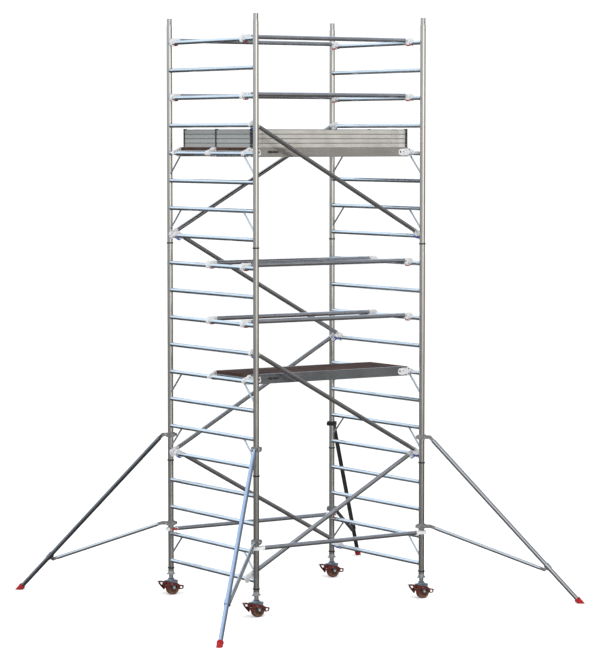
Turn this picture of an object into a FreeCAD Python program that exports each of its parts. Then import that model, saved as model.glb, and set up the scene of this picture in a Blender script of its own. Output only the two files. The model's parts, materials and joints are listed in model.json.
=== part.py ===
"""Mobile access tower: two ladder end frames, braces, platforms, castors and four stabilisers.

Millimetres, +Z up. X runs along the bay, Y across the end frames. The origin is on the floor,
under the middle of the tower. Near is -Y, far is +Y, left is -X and right is +X.
Every node is a group of the separate solids that it is made of.
"""
import FreeCAD
import Part
import math
import os

V = FreeCAD.Vector

# Tower layout
BAY = 1800.0                 # between the end frames, post axis to post axis
WIDTH = 1450.0               # across one end frame, post axis to post axis
RUNG_PITCH = 250.0
FIRST_RUNG = 320.0
JOINTS = (223.0, 1223.0, 3223.0, 5223.0)   # bottoms and tops of the stacked end frames
RUNGS_PER_FRAME = (4, 8, 8)
GUSSET_RUNGS = (2, 6, 8, 14, 16)

# Tubes, radii
POST_R = 25.4
POST_BORE = 23.4
RUNG_R = 19.0
RUNG_BORE = 17.0
GUSSET_R = 8.0
GUSSET_ALONG_RUNG = 190.0
GUSSET_DOWN_POST = 180.0
WELD_GAP = 0.1
BRACE_R = 20.0
BRACE_BORE = 18.0

# Frame joints
SPIGOT_R = 22.9              # where it stands free of the post
SPIGOT_PRESSED_R = 23.35     # inside the post
SPIGOT_BORE = 20.4
SPIGOT_DOWN = 110.0
SPIGOT_UP = 68.0
CLIP_HOLE_UP = 27.0
CLIP_HOLE_R = 5.0
CLIP_PIN_R = 4.0
CLIP_BAND_R = 30.5
CLIP_BAND_HALF = 5.5
CLIP_TAB_REACH = 47.0
CLIP_TAB_HALF = 7.0
RIVET_DOWN = 37.0
RIVET_UP = 45.0
RIVET_R = 3.0
RIVET_HEAD_R = 5.5

# Brace ends
CLAW_LIFT = 22.0             # brace axis above the rung axis
CLAW_REACH = 62.0            # rung axis to tube end
CLAW_THICK = 28.0
LATCH_THICK = 16.0
PLUG_R = 17.8
PLUG_LENGTH = 45.0
POST_CLAW_LIFT = 10.0
POST_CLAW_REACH = 72.0
BASE_BRACE_Z = 610.0

# Lanes across the tower (Y) in which braces and rails lie
NEAR_INNER_LANE = -600.0
NEAR_OUTER_LANE = -665.0
FAR_INNER_LANE = 600.0
FAR_OUTER_LANE = 668.0
RAIL_NEAR_Y = -530.0
RAIL_MIDDLE_Y = 34.0
RAIL_FAR_Y = 655.0

# Platforms
PLATFORM_WIDTH = 600.0
NEAR_PLATFORM_Y = -565.0     # near edge of the near lane
FAR_PLATFORM_Y = 38.0        # near edge of the far lane
PLATFORM_HALF = 850.0
BEAM_WIDE = 30.0
BEAM_WALL = 2.5
BEAM_BELOW = 30.0            # below the rung axis
DECK_ABOVE = 55.0            # deck top above the rung axis
DECK_THICK = 12.0
CROSS_BARS = (-500.0, 0.0, 500.0)
LOWER_RUNG = 8
UPPER_RUNG = 16
HOOK_GRIP_R = 19.3
CHEEK_LONG = 104.0           # of the hook's plate along its beam
CHEEK_THICK = 4.0
CHEEK_GAP = 0.2
LOCK_HOLE_X = 766.0          # from the middle of the bay
DECK_SEAT = 4.0              # between the deck's ends and the edge battens
BATTEN_HIGH = 27.0
HATCH_X = (-760.0, -150.0)
HATCH_MARGIN = 12.0
HATCH_FAR_MARGIN = 79.0
HATCH_GAP = 3.0
HINGE_AT = (70.0, 480.0)     # hinge leaves, from the hatch's left edge
HINGE_LONG = 60.0
HINGE_R = 4.5
HINGE_PIN_R = 2.5
LEAF_WIDE = 44.0
LEAF_THICK = 3.0

# Wind locks, on a side beam's outer face
LOCK_START_X = -672.0
LOCK_LONG = 112.0
LOCK_UP = 15.0               # the bolt's middle above the rung axis
LOCK_HALF_HIGH = 7.0
LOCK_THICK = 6.0
LOCK_GUIDE_THICK = 9.0
LOCK_TAB_OUT = 16.0
LOCK_PIECE_LONG = 14.0       # of the tab and of the guide

# Toe boards
TOE_HALF_X = 834.0
TOE_NEAR_Y = -555.0
TOE_FAR_Y = 562.0
TOE_MIDDLE_Y = 20.0
TOE_HIGH = 160.0
TOE_THICK = 18.0
TOE_GROOVE = 2.0
TOE_BANDS = 4
TOE_CLIP_X = 26.0
TOE_CLIP_Y = 19.0
TOE_PEG_R = 4.5
TOE_PEG_IN = 35.0            # from the board's top and bottom

# Castors and adjustable legs
WHEEL_R = 62.5
WHEEL_HALF = 24.0
TRAIL = 14.0
AXLE_R = 6.0
AXLE_NUT_R = 10.0
AXLE_NUT_LONG = 7.0
HUB_R = 13.0
FORK_IN = 29.0
FORK_OUT = 33.0
CROWN_Z = 129.0
CROWN_THICK = 5.0
CROWN_X = (-52.0, 56.0)
DOME_R = (40.0, 25.0)
RACE_R = 18.0                # room under the dome for the kingpin's head
RACE_TOP = 144.0
HEAD_Z = 150.0
HEAD_R = 24.0
HEAD_THICK = 7.0
KING_R = 7.0
KING_LOW = 137.0
KING_HEAD_R = 13.0
KING_HEAD_TOP = 142.5
STEM_R = 19.0
STEM_WALL = 5.0
THREAD_R = 21.0
THREAD_PITCH = 12.0
LEG_TOP = 560.0
NUT_Z = (188.0, 222.7)
NUT_BORE = 21.4
NUT_R = 27.0
NUT_WING = 43.0
NUT_WING_HALF = 9.0
PEDAL_PIVOT = (-12.0, 102.0)
PEDAL_STUD_R = 4.0
PEDAL_IN = 34.0              # the rocker's plates lie outside the fork
PEDAL_OUT = 37.0

# Stabilisers, in each one's own plane: R away from the post axis, Z up
ARM_PIVOT = (75.0, 1485.0)
FOOT_R = 1465.0
ARM_TUBE_R = 20.0
ARM_BORE = 17.5
CUFF_ALONG = 1588.0          # along the arm from its pivot to the strut's cuff
CUFF_DROP = 42.0             # strut pivot below the arm's axis
STRUT_PIVOT = (85.0, 665.0)
STRUT_R = 17.0
STRUT_BORE = 14.5
TONGUE = 7.5
EYE_R = 15.0
PIN_R = 6.0
OPEN_EYE_R = 10.5
CHEEK_IN = 8.3
CHEEK_OUT = 14.3
CLAMP_HALF_HIGH = 20.0
CLAMP_GRIP_R = 25.75
JAW_OUT = 31.0
JAW_HALF_WIDE = 41.0
CLAMP_BOLT_R = 5.0
CLAMP_BOLT_ASIDE = 33.5
CLAMP_NUT_R = 7.0
CLAMP_NUT_LONG = 6.5
KNOB_OUT = 50.0
KNOB_HALF_WIDE = 7.5
KNOB_HALF_HIGH = 13.0
CAP_R = 27.0
CAP_RIM_R = 30.0
CAP_UP = 58.0                # the cap's mouth, up the arm from where its axis meets the floor
CAP_SOCKET_UP = 26.0

HALF_BAY = BAY / 2
HALF_WIDTH = WIDTH / 2
CORNERS = {
    "near_left": (-1, -1),
    "near_right": (1, -1),
    "far_left": (-1, 1),
    "far_right": (1, 1),
}


# ---------------------------------------------------------------- shared shapes

def rung_z(number):
    return FIRST_RUNG + RUNG_PITCH * (number - 1)


def rod(radius, start, end):
    along = end.sub(start)
    return Part.makeCylinder(radius, along.Length, start, along)


def tube(outer, inner, start, end):
    return rod(outer, start, end).cut(rod(inner, start, end))


def block(low, high):
    size = V(*high).sub(V(*low))
    return Part.makeBox(size.x, size.y, size.z, V(*low))


def face_of(points, to_vector):
    corners = [to_vector(a, b) for a, b in points]
    return Part.Face(Part.makePolygon(corners + corners[:1]))


def plate_xz(points, y_low, y_high):
    """A plate lying in X and Z, from y_low to y_high."""
    return face_of(points, lambda x, z: V(x, y_low, z)).extrude(V(0, y_high - y_low, 0))


def joined(shapes):
    first = shapes[0]
    return first.multiFuse(shapes[1:]).removeSplitter()


def moved(shape, offset):
    copy = shape.copy()
    copy.translate(offset)
    return copy


def aimed(shape, origin, out, up):
    """Place a shape so that its X points along out and its Z along up."""
    side = up.cross(out)
    matrix = FreeCAD.Matrix(
        out.x, side.x, up.x, origin.x,
        out.y, side.y, up.y, origin.y,
        out.z, side.z, up.z, origin.z,
        0, 0, 0, 1,
    )
    copy = shape.copy()
    copy.Placement = FreeCAD.Placement(matrix).multiply(copy.Placement)
    return copy


def save(node, solids):
    shape = solids[0] if len(solids) == 1 else Part.makeCompound(solids)
    shape.exportStep(f"parts/{node}.step")


# ---------------------------------------------------------------- end frames

def post(x, y, z_low, z_high):
    body = tube(POST_R, POST_BORE, V(x, y, z_low), V(x, y, z_high))
    clip_hole = rod(CLIP_HOLE_R, V(x, y, 0), V(x, y + math.copysign(POST_R + 5, y), 0))
    body = body.cut(moved(clip_hole, V(0, 0, z_low + CLIP_HOLE_UP)))
    through = rod(RIVET_R + 0.2, V(x, y - POST_R - 5, 0), V(x, y + POST_R + 5, 0))
    for z in (z_low + RIVET_UP, z_high - RIVET_DOWN):
        body = body.cut(moved(through, V(0, 0, z)))
    return body


def rung(x, z):
    end = HALF_WIDTH - 0.5 * POST_R
    bar = tube(RUNG_R, RUNG_BORE, V(x, -end, z), V(x, end, z))
    for side in (-1, 1):
        y = side * HALF_WIDTH
        bar = bar.cut(rod(POST_R + WELD_GAP, V(x, y, z - 60), V(x, y, z + 60)))
    return bar


def gusset(x, side, z):
    """A small tube from the underside of a rung down to its post."""
    at_rung = V(x, side * (HALF_WIDTH - GUSSET_ALONG_RUNG), z - RUNG_R)
    at_post = V(x, side * (HALF_WIDTH - POST_R), z - GUSSET_DOWN_POST)
    along = at_post.sub(at_rung)
    along.normalize()
    bar = rod(GUSSET_R, at_rung.sub(along * 12), at_post.add(along * 12))
    bar = bar.cut(rod(RUNG_R + WELD_GAP, V(x, -HALF_WIDTH, z), V(x, HALF_WIDTH, z)))
    y = side * HALF_WIDTH
    return bar.cut(rod(POST_R + WELD_GAP, V(x, y, z - 300), V(x, y, z)))


def end_frame(x, level):
    z_low, z_high = JOINTS[level], JOINTS[level + 1]
    first = 1 + sum(RUNGS_PER_FRAME[:level])
    numbers = range(first, first + RUNGS_PER_FRAME[level])
    solids = [post(x, side * HALF_WIDTH, z_low, z_high) for side in (-1, 1)]
    solids += [rung(x, rung_z(number)) for number in numbers]
    for number in set(numbers) & set(GUSSET_RUNGS):
        solids += [gusset(x, side, rung_z(number)) for side in (-1, 1)]
    return solids


def spigot(x, y, z):
    """The sleeve in a post's top, which the next frame stands over."""
    bottom, middle, top = V(x, y, z - SPIGOT_DOWN), V(x, y, z), V(x, y, z + SPIGOT_UP)
    body = joined([rod(SPIGOT_PRESSED_R, bottom, middle), rod(SPIGOT_R, middle, top)])
    body = body.cut(rod(SPIGOT_BORE, bottom, top))
    across = rod(RIVET_R + 0.2, V(x, y - 40, 0), V(x, y + 40, 0))
    for height in (-RIVET_DOWN, RIVET_UP):
        body = body.cut(moved(across, V(0, 0, z + height)))
    wide = rod(CLIP_HOLE_R, V(x, y - 40, z + CLIP_HOLE_UP), V(x, y + 40, z + CLIP_HOLE_UP))
    return body.cut(wide)


def rivet(x, y, z, side, inner):
    face = y + side * POST_R
    shank = rod(RIVET_R, V(x, y + side * inner, z), V(x, face + side * 1.0, z))
    head = rod(RIVET_HEAD_R, V(x, face - side * 0.4, z), V(x, face + side * 2.2, z))
    head = head.cut(rod(POST_R + 0.05, V(x, y, z - 20), V(x, y, z + 20)))
    return joined([shank, head])


def joint_rivets(x, y, z):
    """Rivets either side of one frame joint; the lowest joint has none below it."""
    solids = [rivet(x, y, z + RIVET_UP, side, POST_BORE) for side in (-1, 1) if z < JOINTS[3]]
    if z > JOINTS[0]:
        solids += [rivet(x, y, z - RIVET_DOWN, side, SPIGOT_BORE) for side in (-1, 1)]
    return solids


def interlock_clip(x, y, z):
    """A spring ring round the post, with a pull tab inside and a pin outside."""
    inward = -math.copysign(1, y)
    half = CLIP_BAND_HALF
    band = tube(CLIP_BAND_R, POST_R + 0.3, V(x, y, z - half), V(x, y, z + half))
    y_tab = sorted((y + inward * (POST_R + 1), y + inward * CLIP_TAB_REACH))
    tab = block((x - CLIP_TAB_HALF, y_tab[0], z - 2), (x + CLIP_TAB_HALF, y_tab[1], z + 2))
    pin = rod(CLIP_PIN_R, V(x, y - inward * 28, z), V(x, y - inward * (SPIGOT_R - 1), z))
    return joined([band, tab, pin])


# ---------------------------------------------------------------- braces and rails

def claw(grip_r, lift, reach):
    """A cast end that hooks over a bar at the origin; X points outward and Z away from the mouth."""
    top = max(lift + 18, grip_r + 13)
    outline = [
        (-reach, lift - 18), (-reach, lift + 18), (-grip_r - 4, top), (0.4 * grip_r, top + 3),
        (grip_r + 9, 0.75 * top), (grip_r + 17, 0.15 * grip_r), (grip_r + 15, -0.8 * grip_r),
        (grip_r + 8, -grip_r - 4), (grip_r - 4, -grip_r - 4), (grip_r - 4, 0),
        (4 - grip_r, 0), (4 - grip_r, -grip_r + 2), (-grip_r - 26, -grip_r + 2),
    ]
    half = CLAW_THICK / 2
    body = plate_xz(outline, -half, half)
    mouth = rod(grip_r, V(0, -40, 0), V(0, 40, 0))
    below = block((-grip_r, -40, -80), (grip_r, 40, 0))
    body = body.cut(mouth).cut(below)
    plug = rod(PLUG_R, V(-reach - PLUG_LENGTH, 0, lift), V(-reach + 4, 0, lift))
    collar = rod(BRACE_R + 2.5, V(-reach + WELD_GAP, 0, lift), V(-reach + 9, 0, lift))
    window = rod(6.5, V(-grip_r - 24, -40, lift - 4), V(-grip_r - 24, 40, lift - 4))
    return joined([body, plug, collar]).cut(window)


def latch(grip_r):
    """The trigger under a claw, whose lip closes the mouth below the bar."""
    floor = -grip_r + 1.6
    outline = [
        (-grip_r - 25, floor), (-grip_r - 27, floor - 8), (-grip_r - 6, floor - 12),
        (-2, floor - 11), (4, floor - 6), (-8, floor - 3.5), (-grip_r - 0.5, floor - 3.5),
        (-grip_r - 0.5, floor),
    ]
    half = LATCH_THICK / 2
    return plate_xz(outline, -half, half)


RUNG_CLAW = claw(RUNG_R + 0.4, CLAW_LIFT, CLAW_REACH)
RUNG_LATCH = latch(RUNG_R + 0.4)
POST_CLAW = claw(POST_R + 0.4, POST_CLAW_LIFT, POST_CLAW_REACH)
POST_LATCH = latch(POST_R + 0.4)


def brace_between(start, end, up, lift, reach, claw_shape, latch_shape):
    """Tube, two claws and two latches for a brace that hooks over the bars at start and end."""
    along = end.sub(start)
    along.normalize()
    raised = up * lift
    bar = tube(BRACE_R, BRACE_BORE, start.add(raised).add(along * reach),
               end.add(raised).sub(along * reach))
    ends = ((start, along * -1), (end, along))
    claws = [aimed(claw_shape, at, out, up) for at, out in ends]
    latches = [aimed(latch_shape, at, out, up) for at, out in ends]
    return bar, claws, latches


def rung_brace(left_rung, right_rung, y):
    start = V(-HALF_BAY, y, rung_z(left_rung))
    end = V(HALF_BAY, y, rung_z(right_rung))
    along = end.sub(start)
    along.normalize()
    up = V(-along.z, 0, along.x)
    return brace_between(start, end, up, CLAW_LIFT, CLAW_REACH, RUNG_CLAW, RUNG_LATCH)


def base_brace(side):
    start = V(-HALF_BAY, side * HALF_WIDTH, BASE_BRACE_Z)
    end = V(HALF_BAY, side * HALF_WIDTH, BASE_BRACE_Z)
    up = V(0, side, 0)
    return brace_between(start, end, up, POST_CLAW_LIFT, POST_CLAW_REACH, POST_CLAW, POST_LATCH)


def all_braces():
    diagonals = [
        rung_brace(1, 5, NEAR_INNER_LANE),
        rung_brace(9, 5, NEAR_OUTER_LANE),
        rung_brace(17, 13, NEAR_OUTER_LANE),
        rung_brace(5, 1, FAR_INNER_LANE),
        rung_brace(5, 9, FAR_OUTER_LANE),
        rung_brace(13, 9, FAR_INNER_LANE),
        rung_brace(13, 17, FAR_OUTER_LANE),
    ]
    horizontals = [rung_brace(n, n, y) for n in (10, 12) for y in (RAIL_NEAR_Y, RAIL_MIDDLE_Y)]
    horizontals += [rung_brace(n, n, y) for n in (18, 20) for y in (RAIL_NEAR_Y, RAIL_FAR_Y)]
    horizontals += [base_brace(side) for side in (-1, 1)]
    return diagonals, horizontals


# ---------------------------------------------------------------- platforms

def hollow_beam(low, high):
    """A rectangular tube along its longest side."""
    size = V(*high).sub(V(*low))
    longest = max(size.x, size.y)
    grow = [0 if side == longest else BEAM_WALL for side in (size.x, size.y, size.z)]
    inner_low = [a + g for a, g in zip(low, grow)]
    inner_high = [a - g for a, g in zip(high, grow)]
    return block(low, high).cut(block(inner_low, inner_high))


def platform_frame(y0, z):
    y1 = y0 + PLATFORM_WIDTH
    low, high = z - BEAM_BELOW, z + DECK_ABOVE
    side_beams = []
    for y in (y0, y1 - BEAM_WIDE):
        beam = hollow_beam((-PLATFORM_HALF, y, low), (PLATFORM_HALF, y + BEAM_WIDE, high))
        start = V(-LOCK_HOLE_X, y - 5, z + 12)
        side_beams.append(beam.cut(rod(9.0, start, start.add(V(0, BEAM_WIDE + 10, 0)))))
    inner = (y0 + BEAM_WIDE + WELD_GAP, y1 - BEAM_WIDE - WELD_GAP)
    under_deck = high - DECK_THICK - 0.5
    bars = []
    for x in (-PLATFORM_HALF, PLATFORM_HALF - BEAM_WIDE):
        bars.append(hollow_beam((x, inner[0], low + 20),
                                (x + BEAM_WIDE, inner[1], high - BATTEN_HIGH - 0.5)))
    for x in CROSS_BARS:
        bars.append(hollow_beam((x - 20, inner[0], under_deck - 25), (x + 20, inner[1], under_deck)))
    return side_beams + bars


def hook_cheek(face):
    """The hook's holed plate on the open side face of its beam; face is -1 or 1 in local Y."""
    back = PLATFORM_HALF - HALF_BAY
    front, rear = back + 24, back - CHEEK_LONG
    outline = [
        (rear, 2), (rear + 8, 34), (rear + 44, 42), (front, 42), (front, -16),
        (rear + 44, -22), (rear + 8, -14),
    ]
    inner = BEAM_WIDE / 2 + CHEEK_GAP
    y_low, y_high = sorted((face * inner, face * (inner + CHEEK_THICK)))
    plate = plate_xz(outline, y_low, y_high)
    y_low, y_high = sorted((face * (inner - 2), face * (inner + 1)))
    spacer = block((back + 1, y_low, -14), (front, y_high, 36))
    holes = ((LOCK_HOLE_X - HALF_BAY, 12, 9.0), (back - 46, 14, 6.0), (back - 14, 28, 4.0))
    for x, z, radius in holes:
        plate = plate.cut(rod(radius, V(x, -40, z), V(x, 40, z)))
    return [plate, spacer]


def platform_hook(face):
    """A cast end of a side beam, hooked over a rung at the origin; X points outward."""
    back = PLATFORM_HALF - HALF_BAY
    top = DECK_ABOVE
    grip = HOOK_GRIP_R
    outline = [
        (back, -BEAM_BELOW), (back, top), (back + 12, top - 1), (-18, 38), (4, 31), (grip + 5, 22),
        (grip + 14, 7), (grip + 14, -6), (grip + 9, -15), (grip - 4, -17), (grip - 4, 0),
        (4 - grip, 0), (4 - grip, -BEAM_BELOW + 4), (-grip - 6, -BEAM_BELOW),
    ]
    body = plate_xz(outline, -BEAM_WIDE / 2, BEAM_WIDE / 2)
    body = body.cut(rod(grip, V(0, -40, 0), V(0, 40, 0)))
    body = body.cut(block((-grip, -40, -60), (grip, 40, 0)))
    for z in (-12, 32):
        body = body.cut(rod(4.0, V(back + 14, -40, z), V(back + 14, 40, z)))
    half = BEAM_WIDE / 2 - 3
    tenon = block((back - 40, -half, -BEAM_BELOW + 3), (back + 2, half, top - 3))
    cheek = hook_cheek(face) if face else []
    return joined([body, tenon] + cheek)


def platform_hooks(y0, z, open_faces):
    """Four hooks; open_faces holds the side beams, -1 near and 1 far, that carry cheek plates."""
    solids = []
    for beam, y in ((-1, y0 + BEAM_WIDE / 2), (1, y0 + PLATFORM_WIDTH - BEAM_WIDE / 2)):
        for side in (-1, 1):
            hook = platform_hook(beam * side if beam in open_faces else 0)
            solids.append(aimed(hook, V(side * HALF_BAY, y, z), V(side, 0, 0), V(0, 0, 1)))
    return solids


def deck(y0, z):
    top = z + DECK_ABOVE
    edge = BEAM_WIDE + 0.5
    half = PLATFORM_HALF - BEAM_WIDE - DECK_SEAT
    return block((-half, y0 + edge, top - DECK_THICK), (half, y0 + PLATFORM_WIDTH - edge, top))


def edge_battens(y0, z):
    """Plywood-faced battens on the end bars, flush with the deck, that the end boards stand on."""
    top = z + DECK_ABOVE
    y_low, y_high = y0 + BEAM_WIDE + 0.5, y0 + PLATFORM_WIDTH - BEAM_WIDE - 0.5
    battens = []
    for side in (-1, 1):
        x_low, x_high = sorted((side * (PLATFORM_HALF - BEAM_WIDE), side * (PLATFORM_HALF - 1)))
        battens.append(block((x_low, y_low, top - BATTEN_HIGH), (x_high, y_high, top)))
    return battens


def hatch_bounds():
    y_low = FAR_PLATFORM_Y + BEAM_WIDE + HATCH_MARGIN
    y_high = FAR_PLATFORM_Y + PLATFORM_WIDTH - BEAM_WIDE - HATCH_FAR_MARGIN
    return y_low, y_high


def deck_with_opening(z):
    y_low, y_high = hatch_bounds()
    top = z + DECK_ABOVE
    opening = block((HATCH_X[0], y_low, top - 40), (HATCH_X[1], y_high, top + 5))
    return deck(FAR_PLATFORM_Y, z).cut(opening)


def opened_frame(z):
    """The far upper platform's frame, with the cross bar moved clear of the hatch."""
    y_low, y_high = hatch_bounds()
    opening = block((HATCH_X[0] - 25, y_low - 10, z - 60), (HATCH_X[1], y_high + 10, z + 60))
    solids = platform_frame(FAR_PLATFORM_Y, z)

    def stays(solid):
        return solid.BoundBox.XLength > BAY / 2 or solid.common(opening).Volume < 1.0

    return [solid for solid in solids if stays(solid)]


def hatch_hinge():
    """Y and Z of the hatch's hinge line, along X on the deck's far side."""
    return hatch_bounds()[1] - 6.0, rung_z(UPPER_RUNG) + DECK_ABOVE + 5.5


def hatch():
    y_low, y_high = hatch_bounds()
    top = rung_z(UPPER_RUNG) + DECK_ABOVE
    x_low, x_high = HATCH_X[0] + HATCH_GAP, HATCH_X[1] - HATCH_GAP
    y_near, y_far = y_low + HATCH_GAP, y_high - 8.0
    panel = block((x_low, y_near, top - DECK_THICK), (x_high, y_far, top))
    grip_x = (x_low + x_high) / 2
    slot = block((grip_x - 55, y_near + 30, top - 20), (grip_x + 55, y_near + 62, top + 5))
    panel = panel.cut(slot)
    under = top - DECK_THICK
    lip = block((x_low + 20, y_near + 4, under - 12), (x_high - 20, y_near + 20, under))
    y_pin, z_pin = hatch_hinge()
    parts = [panel, lip]
    for x in (x_low + at for at in HINGE_AT):
        leaf = block((x, y_pin - LEAF_WIDE, top), (x + HINGE_LONG, y_pin, top + LEAF_THICK))
        barrel = rod(HINGE_R, V(x, y_pin, z_pin), V(x + HINGE_LONG, y_pin, z_pin))
        parts += [leaf, barrel]
    bore = rod(HINGE_PIN_R + 0.05, V(HATCH_X[0], y_pin, z_pin), V(HATCH_X[1], y_pin, z_pin))
    return [joined(parts).cut(bore)]


def hatch_hinge_brackets():
    """Fixed hinge leaves and pins on the far beam; each pin stands in the hatch's own barrel."""
    y_pin, z_pin = hatch_hinge()
    top = rung_z(UPPER_RUNG) + DECK_ABOVE
    ear_long = 21.0
    solids = []
    for at in HINGE_AT:
        x = HATCH_X[0] + HATCH_GAP + at
        before, after = x - 1 - ear_long, x + HINGE_LONG + 1
        pin = rod(HINGE_PIN_R, V(before, y_pin, z_pin), V(after + ear_long, y_pin, z_pin))
        parts = [pin]
        for ear_x in (before, after):
            ear_end = ear_x + ear_long
            parts.append(rod(HINGE_R, V(ear_x, y_pin, z_pin), V(ear_end, y_pin, z_pin)))
            parts.append(block((ear_x, y_pin, top + 0.2), (ear_end, y_pin + 26, top + LEAF_THICK)))
        solids.append(joined(parts))
    return solids


def wind_lock(y, z):
    """A sliding bolt on a side beam's outer face, with its two guides and thumb tab."""
    middle = z + LOCK_UP
    end = LOCK_START_X + LOCK_LONG
    face = y - 0.3
    half = LOCK_HALF_HIGH
    bolt = block((LOCK_START_X, y - LOCK_THICK, middle - half), (end, face, middle + half))
    tab_x, guide_x = end - 44, LOCK_START_X + 22
    tab = block((tab_x, y - LOCK_TAB_OUT, middle - half - 2),
                (tab_x + LOCK_PIECE_LONG, y - LOCK_THICK + 1, middle + half + 2))
    guide = block((guide_x, y - LOCK_GUIDE_THICK, middle - half - 4),
                  (guide_x + LOCK_PIECE_LONG, face, middle + half + 4))
    return joined([bolt, tab, guide])


def all_wind_locks():
    lower, upper = rung_z(LOWER_RUNG), rung_z(UPPER_RUNG)
    solids = [wind_lock(NEAR_PLATFORM_Y, z) for z in (lower, upper)]
    far_edge = FAR_PLATFORM_Y + PLATFORM_WIDTH
    turned = wind_lock(0, upper)
    turned.rotate(V(0, 0, 0), V(0, 0, 1), 180)
    solids.append(moved(turned, V(0, far_edge, 0)))
    return solids


# ---------------------------------------------------------------- toe boards

def toe_profile():
    """Grooved board section: X is thickness, Z is height."""
    outline = [(0, 0)]
    pitch = TOE_HIGH / TOE_BANDS
    for number in range(TOE_BANDS):
        z = number * pitch
        outline += [
            (TOE_THICK, z), (TOE_THICK, z + 0.86 * pitch),
            (TOE_THICK - TOE_GROOVE, z + 0.90 * pitch), (TOE_THICK - TOE_GROOVE, z + 0.96 * pitch),
        ]
    outline.append((0, TOE_HIGH))
    return outline


def toe_board(start, end, outward):
    """A board from start to end, grooved on its outward face."""
    along = end.sub(start)
    profile = [V(x - TOE_THICK / 2, 0, z) for x, z in toe_profile()]
    section = Part.Face(Part.makePolygon(profile + profile[:1]))
    board = section.extrude(V(0, along.Length, 0))
    placed = aimed(board, start, outward, V(0, 0, 1))
    middle = placed.BoundBox.Center
    wanted = start.add(along * 0.5)
    return moved(placed, V(wanted.x - middle.x, wanted.y - middle.y, 0))


def toe_boards():
    z = rung_z(UPPER_RUNG) + DECK_ABOVE + 0.5
    in_x = TOE_HALF_X - TOE_CLIP_X / 2 - 0.3
    in_y = TOE_CLIP_Y / 2 + 0.3
    solids = []
    for y, out in ((TOE_NEAR_Y, -1), (TOE_FAR_Y, 1)):
        solids.append(toe_board(V(-in_x, y, z), V(in_x, y, z), V(0, out, 0)))
    for side in (-1, 1):
        x = side * TOE_HALF_X
        for y_a, y_b in ((TOE_NEAR_Y, TOE_MIDDLE_Y), (TOE_MIDDLE_Y, TOE_FAR_Y)):
            solids.append(toe_board(V(x, y_a + in_y, z), V(x, y_b - in_y, z), V(side, 0, 0)))
    return solids


def toe_clip(x, y):
    """A moulded post that two boards butt against, with two holes for its pegs."""
    z = rung_z(UPPER_RUNG) + DECK_ABOVE + 0.5
    half_x, half_y = TOE_CLIP_X / 2, TOE_CLIP_Y / 2
    body = block((x - half_x, y - half_y, z), (x + half_x, y + half_y, z + TOE_HIGH + 5))
    for height in (TOE_PEG_IN, TOE_HIGH - TOE_PEG_IN):
        start = V(x, y - half_y - 5, z + height)
        body = body.cut(rod(TOE_PEG_R, start, start.add(V(0, TOE_CLIP_Y + 10, 0))))
    return body


def toe_clips():
    rows = (TOE_NEAR_Y, TOE_MIDDLE_Y, TOE_FAR_Y)
    return [toe_clip(side * TOE_HALF_X, y) for side in (-1, 1) for y in rows]


# ---------------------------------------------------------------- castors and legs

def leg():
    """Threaded stem with the castor's swivel head and kingpin below it."""
    half = THREAD_PITCH / 2
    shoulder = HEAD_Z + HEAD_THICK
    outline = [(0, HEAD_Z), (HEAD_R, HEAD_Z), (HEAD_R, shoulder), (STEM_R, shoulder + 3)]
    z = shoulder + 7
    while z + THREAD_PITCH < LEG_TOP:
        crest = [(THREAD_R, z + 0.3 * half), (THREAD_R, z + 0.7 * half)]
        outline += [(STEM_R, z)] + crest + [(STEM_R, z + half)]
        z += THREAD_PITCH
    outline += [(STEM_R, LEG_TOP), (0, LEG_TOP)]
    profile = face_of(outline, lambda r, height: V(r, 0, height))
    stem = profile.revolve(V(0, 0, 0), V(0, 0, 1), 360)
    hollow = rod(STEM_R - STEM_WALL, V(0, 0, HEAD_Z + 20), V(0, 0, LEG_TOP + 5))
    king = rod(KING_R, V(0, 0, KING_LOW + 1), V(0, 0, HEAD_Z + 2))
    king_head = rod(KING_HEAD_R, V(0, 0, KING_LOW), V(0, 0, KING_HEAD_TOP))
    return joined([stem.cut(hollow), king, king_head])


def adjusting_nut():
    z_low, z_high = NUT_Z
    body = rod(NUT_R, V(0, 0, z_low), V(0, 0, z_high))
    half, wing_low, wing_high = NUT_WING_HALF, z_low + 3, z_low + 13
    wings = block((-NUT_WING, -half, wing_low), (NUT_WING, half, wing_high))
    cross = block((-half, -NUT_WING, wing_low), (half, NUT_WING, wing_high))
    bore = rod(NUT_BORE, V(0, 0, z_low - 5), V(0, 0, z_high + 5))
    rounded = rod(NUT_WING - 1, V(0, 0, z_low), V(0, 0, z_high))
    return joined([body, wings.common(rounded), cross.common(rounded)]).cut(bore)


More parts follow.
